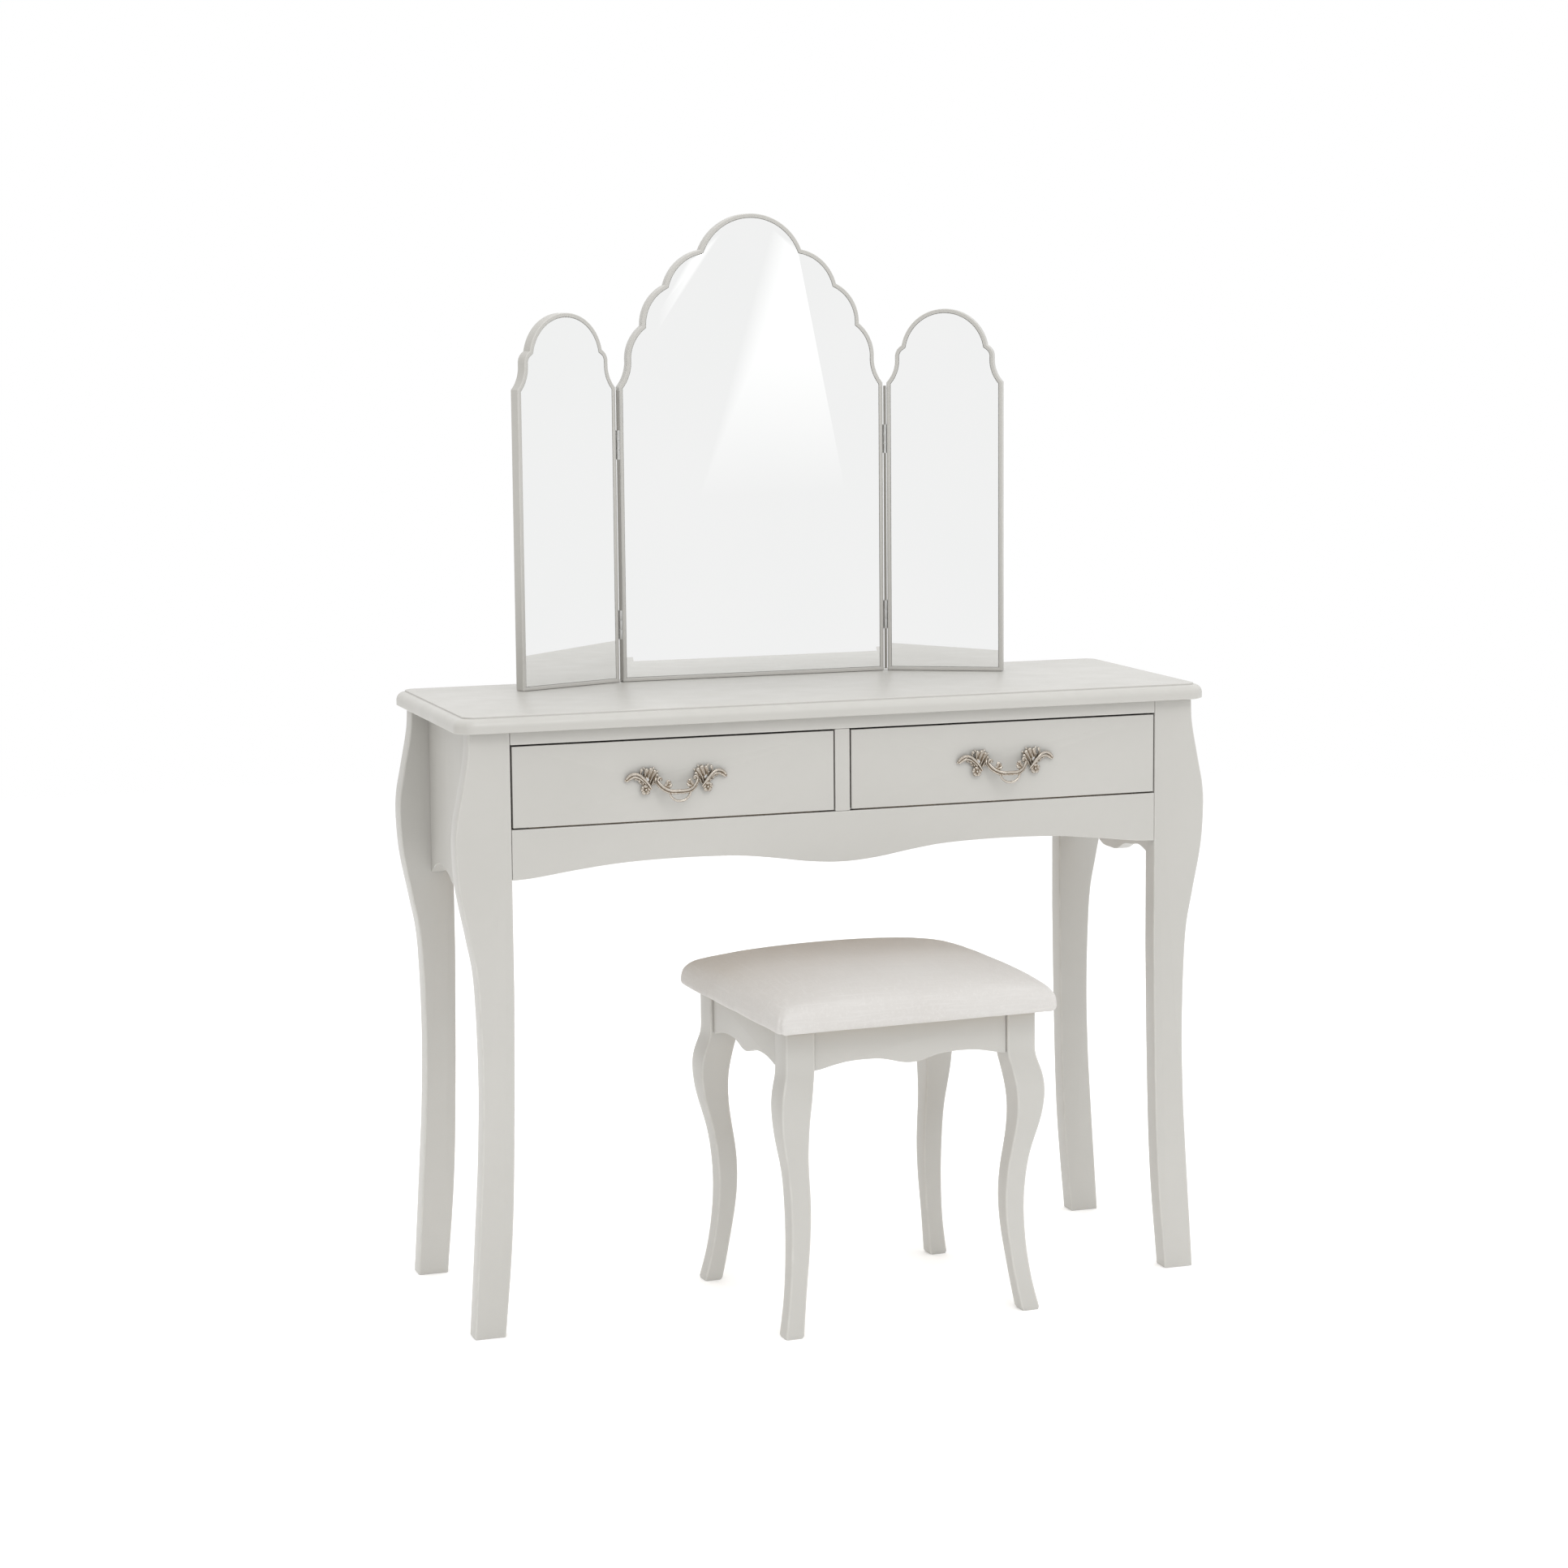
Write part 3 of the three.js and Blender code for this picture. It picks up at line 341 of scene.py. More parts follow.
# %% Drawn steel
steel, tree, shader, place = new_finish("drawn_steel", (0.55, 0.55, 0.54), Metallic=1.0)
scratches = noise(tree, stretched(tree, place, 2600.0, 2600.0, 60.0), 1.0, detail=3.0)
drawn = ramp(tree, scratches, (0.3, (0.50, 0.50, 0.49)), (0.7, (0.62, 0.62, 0.61)))
tree.links.new(drawn, shader.inputs["Base Color"])
tree.links.new(spread(tree, scratches, 0.24, 0.42), shader.inputs["Roughness"])
tree.links.new(bump(tree, scratches, 0.00003, 0.4), shader.inputs["Normal"])
print("metals and glass: 3 finishes")

# %% [markdown]
# ## Ivory linen
# The seat is covered in a plain weave of slubby yarn. Plain weave is three families of threads in this
# model, one along each axis. A patch of cloth shows only the two that run along it, so each family fades
# where the surface turns to face its axis. That gives a weave on the top and on all four sides without
# unwrapping. Long soft streaks are the slubs: places where the yarn was spun thicker.

# %% Ivory linen
THREAD = 0.00085  # from one thread to the next
linen, tree, shader, place = new_finish("ivory_linen", (0.68, 0.66, 0.63), Specular_IOR_Level=0.2)
shader.inputs["Sheen Weight"].default_value = 0.35
shader.inputs["Sheen Roughness"].default_value = 0.4
facing = add_node(tree, "ShaderNodeTexCoord").outputs["Normal"]
faces = add_node(tree, "ShaderNodeSeparateXYZ", {0: facing})
wander = noise(tree, place, 70.0, detail=2.0)
yarn = None
for axis, direction in enumerate(("X", "Y", "Z")):
    waves = {"Vector": place, "Scale": 2 * math.pi / THREAD / 20, "Distortion": 0.0}
    thread = add_node(tree, "ShaderNodeTexWave", waves, bands_direction=direction, wave_profile="SIN").outputs["Fac"]
    thread = calc(tree, "MULTIPLY", thread, spread(tree, noise(tree, place, 190.0 + 30 * axis), 0.7, 1.0))
    away = calc(tree, "SUBTRACT", 1.0, calc(tree, "ABSOLUTE", faces.outputs[axis]))
    thread = calc(tree, "MULTIPLY", thread, calc(tree, "POWER", away, 0.5))
    yarn = thread if yarn is None else calc(tree, "MAXIMUM", yarn, thread)
slub_x = noise(tree, stretched(tree, place, 10.0, 330.0, 330.0), 1.0, detail=3.0, roughness=0.6)
slub_y = noise(tree, stretched(tree, place, 330.0, 10.0, 330.0), 1.0, detail=3.0, roughness=0.6)
slubs = calc(tree, "MAXIMUM", slub_x, slub_y)
ground = ramp(tree, noise(tree, place, 7.0, detail=4.0), (0.3, (0.575, 0.555, 0.533)), (0.7, (0.606, 0.592, 0.573)))
ground = blend(tree, spread(tree, slubs, 0.0, 0.5, 0.5, 0.75), ground, (0.675, 0.662, 0.645, 1.0))
gaps = spread(tree, yarn, 0.34, 0.0, 0.0, 0.55)
tree.links.new(blend(tree, gaps, ground, (0.44, 0.415, 0.39, 1.0)), shader.inputs["Base Color"])
tree.links.new(spread(tree, slubs, 0.82, 0.95), shader.inputs["Roughness"])
woven = bump(tree, yarn, 0.00022, 0.7)
tree.links.new(bump(tree, slubs, 0.0003, 0.35, under=woven), shader.inputs["Normal"])
print("linen:", len(tree.nodes), "nodes")

# %% [markdown]
# The floor is matt white paper, lit a little from below to keep the shadows soft. A floor that stops leaves
# a line where it meets the sky. So this one turns transparent a few metres out, and the white of the paper
# passes into the white of the sky.

# %% White floor
paper, tree, shader, place = new_finish("white_paper", (0.93, 0.93, 0.93), Specular_IOR_Level=0.1)
sheet = ramp(tree, noise(tree, place, 1.5), (0.3, (0.93, 0.93, 0.93)), (0.7, (0.95, 0.95, 0.95)))
tree.links.new(sheet, shader.inputs["Base Color"])
tree.links.new(spread(tree, noise(tree, place, 30.0), 0.85, 0.95), shader.inputs["Roughness"])
shader.inputs["Emission Color"].default_value = (1.0, 1.0, 1.0, 1.0)
shader.inputs["Emission Strength"].default_value = 0.16
distance = add_node(tree, "ShaderNodeVectorMath", {0: place}, operation="LENGTH").outputs["Value"]
clear = add_node(tree, "ShaderNodeBsdfTransparent").outputs[0]
fade = spread(tree, distance, 0.0, 1.0, 2.2, 5.0)
mixed = add_node(tree, "ShaderNodeMixShader", {0: fade, 1: shader.outputs[0], 2: clear}).outputs[0]
tree.links.new(mixed, tree.nodes["Material Output"].inputs["Surface"])
floor.data.materials.append(paper)
print("paper:", len(tree.nodes), "nodes")

# %% Which finish goes where
FINISHES = {
    "paint": paint,
    "bare_wood": wood,
    "mirror_glass": glass,
    "antique_silver": silver,
    "hinge_steel": steel,
    "linen": linen,
}
print("finishes:", ", ".join(FINISHES))

# %% [markdown]
# ## Re-sawing the boards
# Nearly every painted piece is a board sawn to a curved line and then softened along its edges with
# sandpaper. The working model has the same boards with square edges and short straight steps in place of
# curves. So each board is sawn again: read the line off its largest flat face, draw a smooth line through
# the same points, and loft a new board whose edge is a true quarter round.


# %% Read a board's line
def board_plan(name, facing):
    """The line of a board's largest flat face in the board's own plane, and where that plane lies."""
    bm = bmesh.new()
    bm.from_mesh(nodes[name].data)
    bmesh.ops.remove_doubles(bm, verts=bm.verts, dist=1e-6)
    bmesh.ops.dissolve_limit(bm, angle_limit=math.radians(0.05), verts=bm.verts, edges=bm.edges)
    face = max(bm.faces, key=lambda f: f.calc_area())
    out = face.normal.copy()
    if out.dot(Vector(facing)) < 0:
        out.negate()
    up = Vector((0, 1, 0)) if abs(out.z) > 0.5 else Vector((0, 0, 1))
    side = up.cross(out)
    line = [Vector((v.co.dot(side), v.co.dot(up))) for v in face.verts]
    depths = [v.co.dot(out) for v in bm.verts]
    bm.free()
    turning = sum(a.cross(b) for a, b in zip(line, line[1:] + line[:1]))
    if turning < 0:
        line.reverse()
    return {"line": line, "side": side, "up": up, "out": out, "front": max(depths), "back": min(depths)}


# %% Draw smooth lines
CORNER = math.radians(28)  # a sharper turn than this is a real corner
STRAIGHT = 0.045  # a longer step than this is a real straight edge


def turn_at(before, point, after):
    a = math.atan2(point[1] - before[1], point[0] - before[0])
    b = math.atan2(after[1] - point[1], after[0] - point[0])
    return a, math.remainder(b - a, 2 * math.pi)


def smooth_line(line, step=0.004):
    """The same closed line with a point every few millimetres, round between its corners."""
    points = list(line)
    count = len(points)
    chords = [points[(i + 1) % count] - points[i] for i in range(count)]
    sharp = [abs(turn_at(points[i - 1], points[i], points[(i + 1) % count])[1]) > CORNER for i in range(count)]
    drawn = []
    for i in range(count):
        chord, last, following = chords[i], chords[i - 1], chords[(i + 1) % count]
        drawn.append(points[i])
        if chord.length > STRAIGHT or chord.length < 1.5 * step:
            continue
        ends = []
        for is_sharp, near in ((sharp[i], last), (sharp[(i + 1) % count], following)):
            if is_sharp:
                ends.append(None)
            elif near.length > STRAIGHT:
                ends.append(near.normalized())
            else:
                lean = near.normalized() * chord.length + chord.normalized() * near.length
                ends.append(lean.normalized())
        along = chord.normalized()
        for k in (0, 1):
            if ends[k] is None:
                other = ends[1 - k] or along
                ends[k] = 2 * other.dot(along) * along - other
        steps = max(2, round(chord.length / step))
        for s in range(1, steps):
            t = s / steps
            drawn.append(
                (2 * t**3 - 3 * t**2 + 1) * points[i]
                + (t**3 - 2 * t**2 + t) * chord.length * ends[0]
                + (3 * t**2 - 2 * t**3) * points[(i + 1) % count]
                + (t**3 - t**2) * chord.length * ends[1]
            )
    return drawn


def round_corners(line, radius, steps=4):
    """The same closed line with each real corner worn to a small round."""
    count = len(line)
    drawn = []
    for i, point in enumerate(line):
        before, after = line[i - 1], line[(i + 1) % count]
        turned = abs(turn_at(before, point, after)[1])
        if turned < CORNER:
            drawn.append(point)
            continue
        room = 0.48 * min((point - before).length, (after - point).length)
        reach = min(radius * math.tan(turned / 2), room)
        start = point + (before - point).normalized() * reach
        end = point + (after - point).normalized() * reach
        for s in range(steps + 1):
            t = s / steps
            drawn.append((1 - t) ** 2 * start + 2 * t * (1 - t) * point + t**2 * end)
    return drawn


def inset(line, distance):
    """The same closed line, drawn further in."""
    drawn = []
    for i, point in enumerate(line):
        heading, turned = turn_at(line[i - 1], point, line[(i + 1) % len(line)])
        inward = heading + turned / 2 + math.pi / 2
        reach = distance / math.cos(turned / 2)
        drawn.append(Vector((point[0] + reach * math.cos(inward), point[1] + reach * math.sin(inward))))
    return drawn


# %% [markdown]
# A loft is a stack of copies of one line. Each copy is drawn a little further in and at its own level, and
# neighbouring copies are joined with a belt of faces. A rounded edge is then only a list of steps, and a
# rebate or a moulding is a longer list. The loft also writes the "edge" number, which the paint uses to
# lighten the rounded edges: wear, and a painted highlight.


# %% Loft a board from its line
def round_edge(level, radius, rising, steps=4):
    """Steps of a quarter round at a board's back (rising) or front edge, as (further in, level, edge)."""
    belt = []
    for i in range(steps + 1):
        angle = math.pi / 2 * i / steps
        # the edge number peaks halfway round, where the paint lightens for wear and a painted highlight
        wear_and_highlight = math.sin(2 * angle)
        if rising:
            belt.append((radius * (1 - math.sin(angle)), level + radius * (1 - math.cos(angle)), wear_and_highlight))
        else:
            belt.append((radius * (1 - math.cos(angle)), level - radius * (1 - math.sin(angle)), wear_and_highlight))
    return belt


def add_piece(name, verts, faces, finish, flat=(), numbers=None):
    """An object from plain lists, smooth except where it turns sharply."""
    mesh = bpy.data.meshes.new(name)
    mesh.from_pydata([tuple(v) for v in verts], [], faces)
    mesh.shade_smooth()
    for index in flat:
        mesh.polygons[index].use_smooth = False
    mesh.set_sharp_from_angle(angle=math.radians(40))
    for key, values in (numbers or {}).items():
        mesh.attributes.new(key, "FLOAT", "POINT").data.foreach_set("value", values)
    mesh.materials.append(finish)
    piece = bpy.data.objects.new(name, mesh)
    bpy.context.scene.collection.objects.link(piece)
    return piece


def stand_for(piece, *names):
    """The piece replaces these parts of the working model, and takes their body."""
    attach(piece, body_of[names[0]])
    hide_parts(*names)
    return piece


def loft(name, plan, line, steps, finish, corner=0.0012, corner_steps=4):
    """A closed board. Each copy's corners are worn after it is drawn in, so that they never cross over."""
    verts, wear_and_highlight, faces = [], [], []
    for further_in, height, edge_number in steps:
        ring = round_corners(inset(line, further_in), max(corner - further_in, 0.0001), corner_steps)
        count = len(ring)
        verts += [plan["side"] * p[0] + plan["up"] * p[1] + plan["out"] * height for p in ring]
        wear_and_highlight += [edge_number] * count
    for k in range(len(steps) - 1):
        low, high = k * count, (k + 1) * count
        faces += [(low + i, low + (i + 1) % count, high + (i + 1) % count, high + i) for i in range(count)]
    faces.append(tuple(reversed(range(count))))
    faces.append(tuple(range(len(verts) - count, len(verts))))
    return add_piece(name, verts, faces, finish, flat=(-1, -2), numbers={"edge": wear_and_highlight})


def resaw(name, facing, radius=0.0012, corner=0.0012):
    """A painted board in place of the working model's, with both faces' edges rounded."""
    plan = board_plan(name, facing)
    line = smooth_line(plan["line"])
    steps = round_edge(plan["back"], radius, True) + round_edge(plan["front"], radius, False)
    return stand_for(loft(f"{name}_board", plan, line, steps, paint, corner), name)


# %% [markdown]
# ## Legs, side panels and apron
# The legs are sawn from one thick board each and stand with their faces to the front. Hands and brooms
# round them over more than the thin apron, so they get the largest radius.

# %% Table boards
FRONT, BACK, LEFT, RIGHT = (0, -1, 0), (0, 1, 0), (-1, 0, 0), (1, 0, 0)
for end in ("front", "back"):
    for side in ("left", "right"):
        leg = resaw(f"{end}_{side}_leg", FRONT, radius=0.0022, corner=0.002)
for side, facing in (("left", LEFT), ("right", RIGHT)):
    resaw(f"{side}_side_panel", facing)
resaw("front_apron", FRONT, radius=0.0013)
print("one leg:", len(leg.data.vertices), "points")

# %% [markdown]
# ## The table top
# The top is 20 mm thick. From below, its edge has a soft arris, an upright strip, a quarter round and then
# a small step up to the flat field. The step is what draws the fine line round the top.

# %% Table top
TOP_ROUND = 0.011
TOP_STEP = 0.002
plan = board_plan("table_top", (0, 0, 1))
line = plan["line"]
steps = round_edge(plan["back"], 0.0015, True)
steps += round_edge(plan["front"] - TOP_STEP, TOP_ROUND, False, steps=10)[:-1]
# on the top's lower edges the lightening for wear and painted highlight is weaker
steps = [(a, b, 0.35 * c) for a, b, c in steps]
steps.append((TOP_ROUND + 0.0002, plan["front"] - TOP_STEP, 0.0))
steps += [(TOP_ROUND + 0.0005 + a, b, c) for a, b, c in round_edge(plan["front"], 0.0007, False, steps=3)]
top = stand_for(loft("table_top_board", plan, line, steps, paint, corner=0.020, corner_steps=10), "table_top")
print("top:", len(top.data.vertices), "points in", len(steps), "steps up its edge")

# %% [markdown]
# ## Straight pieces
# Rails, drawer parts, runners, screws and hinges have the right shape already, apart from their knife-sharp
# edges. A copy of each gets its edges rounded by about a millimetre, because a real edge always catches a
# thin line of light. The rounded faces get the "edge" number, which lightens the paint there: wear, and a
# painted highlight. On the painted fronts, the narrow sides get a second number that paints shade into the
# gaps between the parts; it grows from nothing at the face to full at the back.


# %% Soften the straight pieces
def soften(name, width):
    """A copy of a straight piece with rounded edges and the numbers that the paint reads."""
    low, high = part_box(name)
    bm = bmesh.new()
    bm.from_mesh(nodes[name].data)
    bmesh.ops.remove_doubles(bm, verts=bm.verts, dist=1e-6)
    bmesh.ops.dissolve_limit(bm, angle_limit=math.radians(0.05), verts=bm.verts, edges=bm.edges)
    sharp = [e for e in bm.edges if e.is_manifold and e.calc_face_angle() > math.radians(40)]
    wear_and_highlight_layer, gap_shade = bm.faces.layers.float.new("edge"), bm.loops.layers.float.new("gap_shade")
    how = {"segments": 3, "profile": 0.5, "affect": "EDGES", "clamp_overlap": True}
    rounded = bmesh.ops.bevel(bm, geom=sharp, offset=width, **how)
    # rounded faces get the edge number: the paint lightens them for wear and a painted highlight
    for face in rounded["faces"]:
        face[wear_and_highlight_layer] = 0.8
    # painted shade for the gaps: the narrow sides darken from the painted face towards the back
    if slot_of[name] == "paint" and name != "back_panel":
        face_y, depth = low.y + width, high.y - low.y - 2 * width
        for face in bm.faces:
            for loop in face.loops:
                if abs(face.normal.y) < 0.3:
                    loop[gap_shade] = min(max(3.0 * (loop.vert.co.y - face_y) / depth, 0.0), 1.0)
    mesh = bpy.data.meshes.new(f"{name}_softened")
    bm.to_mesh(mesh)
    bm.free()
    mesh.shade_smooth()
    mesh.set_sharp_from_angle(angle=math.radians(32))
    mesh.materials.append(FINISHES[slot_of[name]])
    piece = bpy.data.objects.new(mesh.name, mesh)
    bpy.context.scene.collection.objects.link(piece)
    return stand_for(piece, name)


SOFTENING = {"paint": 0.0011, "bare_wood": 0.0006, "hinge_steel": 0.00015}
STRAIGHT_PIECES = ["top_rail", "centre_post", "back_panel", "centre_divider", "seat_board"]
STRAIGHT_PIECES += [n for n in nodes if n.endswith(("_runner", "_corner_block", "_screw", "_half"))]
STRAIGHT_PIECES += [n for n in nodes if "_drawer_" in n]
for name in STRAIGHT_PIECES:
    soften(name, SOFTENING[slot_of[name]])
print("softened", len(STRAIGHT_PIECES), "straight pieces")

# %% [markdown]
# ## The mirror
# Each panel is a board with a shallow rebate, and the glass is glued into it. What shows from the front is a
# strip of painted edge, a hairline shadow, and the glass. The rebate is a few more steps in the loft, and
# the glass follows the same line, so the hairline is even along every scallop.

# %% Mirror panels and glass
STRIP = 0.005  # painted edge round the glass
RECESS = 0.0041
HAIRLINE = 0.0003
for name in ("centre_mirror", "left_wing", "right_wing"):
    plan = board_plan(f"{name}_frame", FRONT)
    line = smooth_line(plan["line"], step=0.003)
    steps = round_edge(plan["back"], 0.0014, True) + round_edge(plan["front"], 0.0010, False)
    steps.append((STRIP - 0.0005, plan["front"], 0.0))
    # the lip round the glass gets the edge number: a lighter line of wear and painted highlight
    steps.append((STRIP - 0.00015, plan["front"] - 0.00015, 0.6))
    steps.append((STRIP, plan["front"] - 0.0005, 0.0))
    steps.append((STRIP, plan["front"] - RECESS, 0.0))
    stand_for(loft(f"{name}_panel", plan, line, steps, paint, corner=0.0010), f"{name}_frame")
    pane = board_plan(f"{name}_glass", FRONT)
    steps = [(0.0, pane["back"], 0.0), (0.0, pane["front"] - 0.0004, 0.0), (0.0004, pane["front"], 0.0)]
    pane_line = inset(line, STRIP + HAIRLINE)
    stand_for(loft(f"{name}_pane", pane, pane_line, steps, glass, corner=0.0004), f"{name}_glass")
    print(name, "panel:", len(line), "points round its line")

# %% [markdown]
# A wing hangs on two small hinges, and between them the joint would be an open slit with daylight in it. On
# the real mirror the joint reads as a thin dark line, the shade within the joint. A slim bead stands in the
# slit and is painted dark, as painted shade for that line. It sits on the very line that the wing turns
# about, so no angle of the wing can pinch it. A round rod is used because it looks the same from every
# side, and it is cut in three where the hinges stand.

# %% Beads painted dark as shade in the mirror's joints
BEAD = 0.0018  # radius of the bead
BEAD_SIDES = 16
# painted shade: how dark the bead is painted, standing in for the shade in the joint
BEAD_PAINTED_SHADE = 0.6  # how much of the gap's darkness is on it
for joint in frame["record"]["behaviour"]["joints"]:
    if joint["child"] not in ("left_wing", "right_wing"):
        continue
    wing, (x, y, _) = joint["child"], joint["pos_m"]
    lower, upper = (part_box(f"{wing[:-5]}_{place}_hinge_centre_half") for place in ("lower", "upper"))
    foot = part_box("centre_mirror_frame")[0][2]
    shoulder = upper[1][2] + lower[0][2] - foot
    stops = (foot + 0.003, lower[0][2], lower[1][2], upper[0][2], upper[1][2], shoulder - 0.005)
    for part, low, high in zip(("low", "middle", "high"), stops[::2], stops[1::2]):
        turns = [math.tau * i / BEAD_SIDES for i in range(BEAD_SIDES)]
        verts = [(x + BEAD * math.cos(a), y + BEAD * math.sin(a), z) for z in (low, high) for a in turns]
        pairs = [(i, (i + 1) % BEAD_SIDES) for i in range(BEAD_SIDES)]
        faces = [(i, j, BEAD_SIDES + j, BEAD_SIDES + i) for i, j in pairs]
        faces += [tuple(reversed(range(BEAD_SIDES))), tuple(range(BEAD_SIDES, 2 * BEAD_SIDES))]
        bead = add_piece(f"{wing}_bead_{part}", verts, faces, paint, flat=(-1, -2))
        # the whole bead is painted dark as shade for the joint
        shade = bead.data.attributes.new("gap_shade", "FLOAT", "CORNER")
        shade.data.foreach_set("value", [BEAD_PAINTED_SHADE] * len(bead.data.loops))
        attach(bead, joint["parent"])
    print(wing, "bead:", round(stops[-1] - stops[0], 3), "m long")

# %% [markdown]
# ## The stool's legs
# A stool leg is sawn twice, once from the front and once from the side, and then rounded over. At any height
# its section is a square with worn corners. So it is measured at every few millimetres: how far it reaches
# in each direction. The reaches are smoothed along the leg and lofted into one sweeping surface. The stool
# stands a little turned, so the work is done in the stool's own directions.

# %% Stool legs
apron = board_plan("stool_front_apron", FRONT)
stool_side, stool_front = apron["side"], apron["out"]
LEG_ROUND = 0.0028


def leg_reach(name, heights):
    """Lowest and highest reach of a leg along the stool's two directions at each height."""
    bm = bmesh.new()
    bm.from_mesh(nodes[name].data)
    ends = [(e.verts[0].co.copy(), e.verts[1].co.copy()) for e in bm.edges]
    bm.free()
    reach = []
    for z in heights:
        crossing = [(a, b) for a, b in ends if min(a.z, b.z) <= z <= max(a.z, b.z) and a.z != b.z]
        hits = [a.lerp(b, (z - a.z) / (b.z - a.z)) for a, b in crossing]
        u = [p.dot(stool_side) for p in hits]
        v = [p.dot(stool_front) for p in hits]
        reach.append((min(u), max(u), min(v), max(v)))
    return np.array(reach)


def smoothed(values, passes):
    """The same list of reaches, with each one averaged with its neighbours a few times."""
    for _ in range(passes):
        values[1:-1] = (values[:-2] + 2 * values[1:-1] + values[2:]) / 4
    return values


for end in ("front", "back"):
    for side in ("left", "right"):
        name = f"stool_{end}_{side}_leg"
        low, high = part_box(name)
        heights = np.linspace(low.z, high.z, 118)
        sampled = np.clip(heights, low.z + 2e-5, high.z - 2e-5)
        reach = smoothed(leg_reach(name, sampled), 7)
        verts, wear_and_highlight, faces = [], [], []
        for k, z in enumerate(heights):
            trim = LEG_ROUND * 0.5 if k in (0, len(heights) - 1) else 0.0
            u0, u1, v0, v1 = reach[k] + np.array((trim, -trim, trim, -trim))
            corners = ((u1, v0, -1), (u1, v1, 0), (u0, v1, 1), (u0, v0, 2))
            for u, v, quarter in corners:
                mid_u = u - math.copysign(LEG_ROUND, u - (u0 + u1) / 2)
                mid_v = v - math.copysign(LEG_ROUND, v - (v0 + v1) / 2)
                for s in range(6):
                    angle = (quarter + s / 5) * math.pi / 2
                    p = stool_side * (mid_u + LEG_ROUND * math.cos(angle))
                    p = p + stool_front * (mid_v + LEG_ROUND * math.sin(angle))
                    verts.append((p.x, p.y, z))
                    # the edge number, highest mid-round: wear and a painted highlight in the paint
                    wear_and_highlight.append(math.sin(math.pi * s / 5))
        ring = 24
        for k in range(len(heights) - 1):
            faces += [
                (k * ring + (i + 1) % ring, k * ring + i, (k + 1) * ring + i, (k + 1) * ring + (i + 1) % ring)
                for i in range(ring)
            ]
        faces.append(tuple(range(ring)))
        faces.append(tuple(reversed(range(len(verts) - ring, len(verts)))))
        stand_for(add_piece(f"{name}_carved", verts, faces, paint, flat=(-1, -2), numbers={"edge": wear_and_highlight}), name)
for name, facing in (("front", FRONT), ("back", BACK), ("left", LEFT), ("right", RIGHT)):
    resaw(f"stool_{name}_apron", facing, radius=0.0010)
print("stool: 4 legs and 4 aprons")

# %% [markdown]
# ## The seat cushion
# The pad is foam under linen, pulled down over the seat board and stapled underneath. It is highest in the
# middle, rolls over near the rim and ends in an upright band. At each corner the cloth is folded once. The
# cloth solver finds how such a cover settles: the foam is modelled as pressure, and the stapled rim as pinned
# points. It starts a little small, because the pressure swells it.

# %% Cushion blank
seat_low, seat_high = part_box("seat_cushion")
seat_middle = (seat_low + seat_high) / 2
cover = nodes["seat_cushion"].data
reach_side = max(abs((v.co - seat_middle).dot(stool_side)) for v in cover.vertices)
reach_front = max(abs((v.co - seat_middle).dot(stool_front)) for v in cover.vertices)
reach_side += 0.0085  # the foam stands a little proud of the working model at the sides
reach_front += 0.0100  # and a little more at the front and back
CROWN = seat_high.z - seat_low.z + 0.0015
BAND = 0.015  # upright band round the pad
ROLL = 0.0260  # height of the roll above it
ROLL_SHARE = 0.105  # how far the roll reaches in, as a share of the way to the middle
SHRINK = 0.0015  # how much smaller the blank starts


def cushion_height(a, b, inward):
    """Height of the blank over its underside, for a and b from -1 to 1 across the seat."""
    roll = math.sqrt(1.0 - (1.0 - min(inward / ROLL_SHARE, 1.0)) ** 2)
    dome = max(1.0 - abs(a) ** 2.5, 0.0) * max(1.0 - abs(b) ** 2.5, 0.0)
    return BAND + ROLL * (1 - 0.4 * abs(a * b) ** 3) * roll + (CROWN - BAND - ROLL - 0.0022) * dome


def rim_line(count, radius):
    """Points round a rounded rectangle, evenly spread, as shares of its half width and half depth."""
    half_a, half_b = reach_side - SHRINK, reach_front - SHRINK
    corners = [Vector((x * half_a, y * half_b)) for x, y in ((1, -1), (1, 1), (-1, 1), (-1, -1))]
    line = round_corners(corners, radius, steps=10)
    lengths = [(line[(i + 1) % len(line)] - p).length for i, p in enumerate(line)]
    total, drawn, i, start = sum(lengths), [], 0, 0.0
    for k in range(count):
        want = total * k / count
        while start + lengths[i] < want:
            start += lengths[i]
            i += 1
        drawn.append(line[i].lerp(line[(i + 1) % len(line)], (want - start) / lengths[i]))
    return drawn


RIM_POINTS, RINGS = 240, 34
RIM_CORNER = 0.013  # radius of the pad's corners
rim = rim_line(RIM_POINTS, RIM_CORNER)
half = Vector((reach_side - SHRINK, reach_front - SHRINK))


def seat_point(p, z):
    """A point of the pad, from its place across the seat and its height over the underside."""
    return seat_middle + stool_side * p[0] + stool_front * p[1] + Vector((0, 0, seat_low.z + z - seat_middle.z))


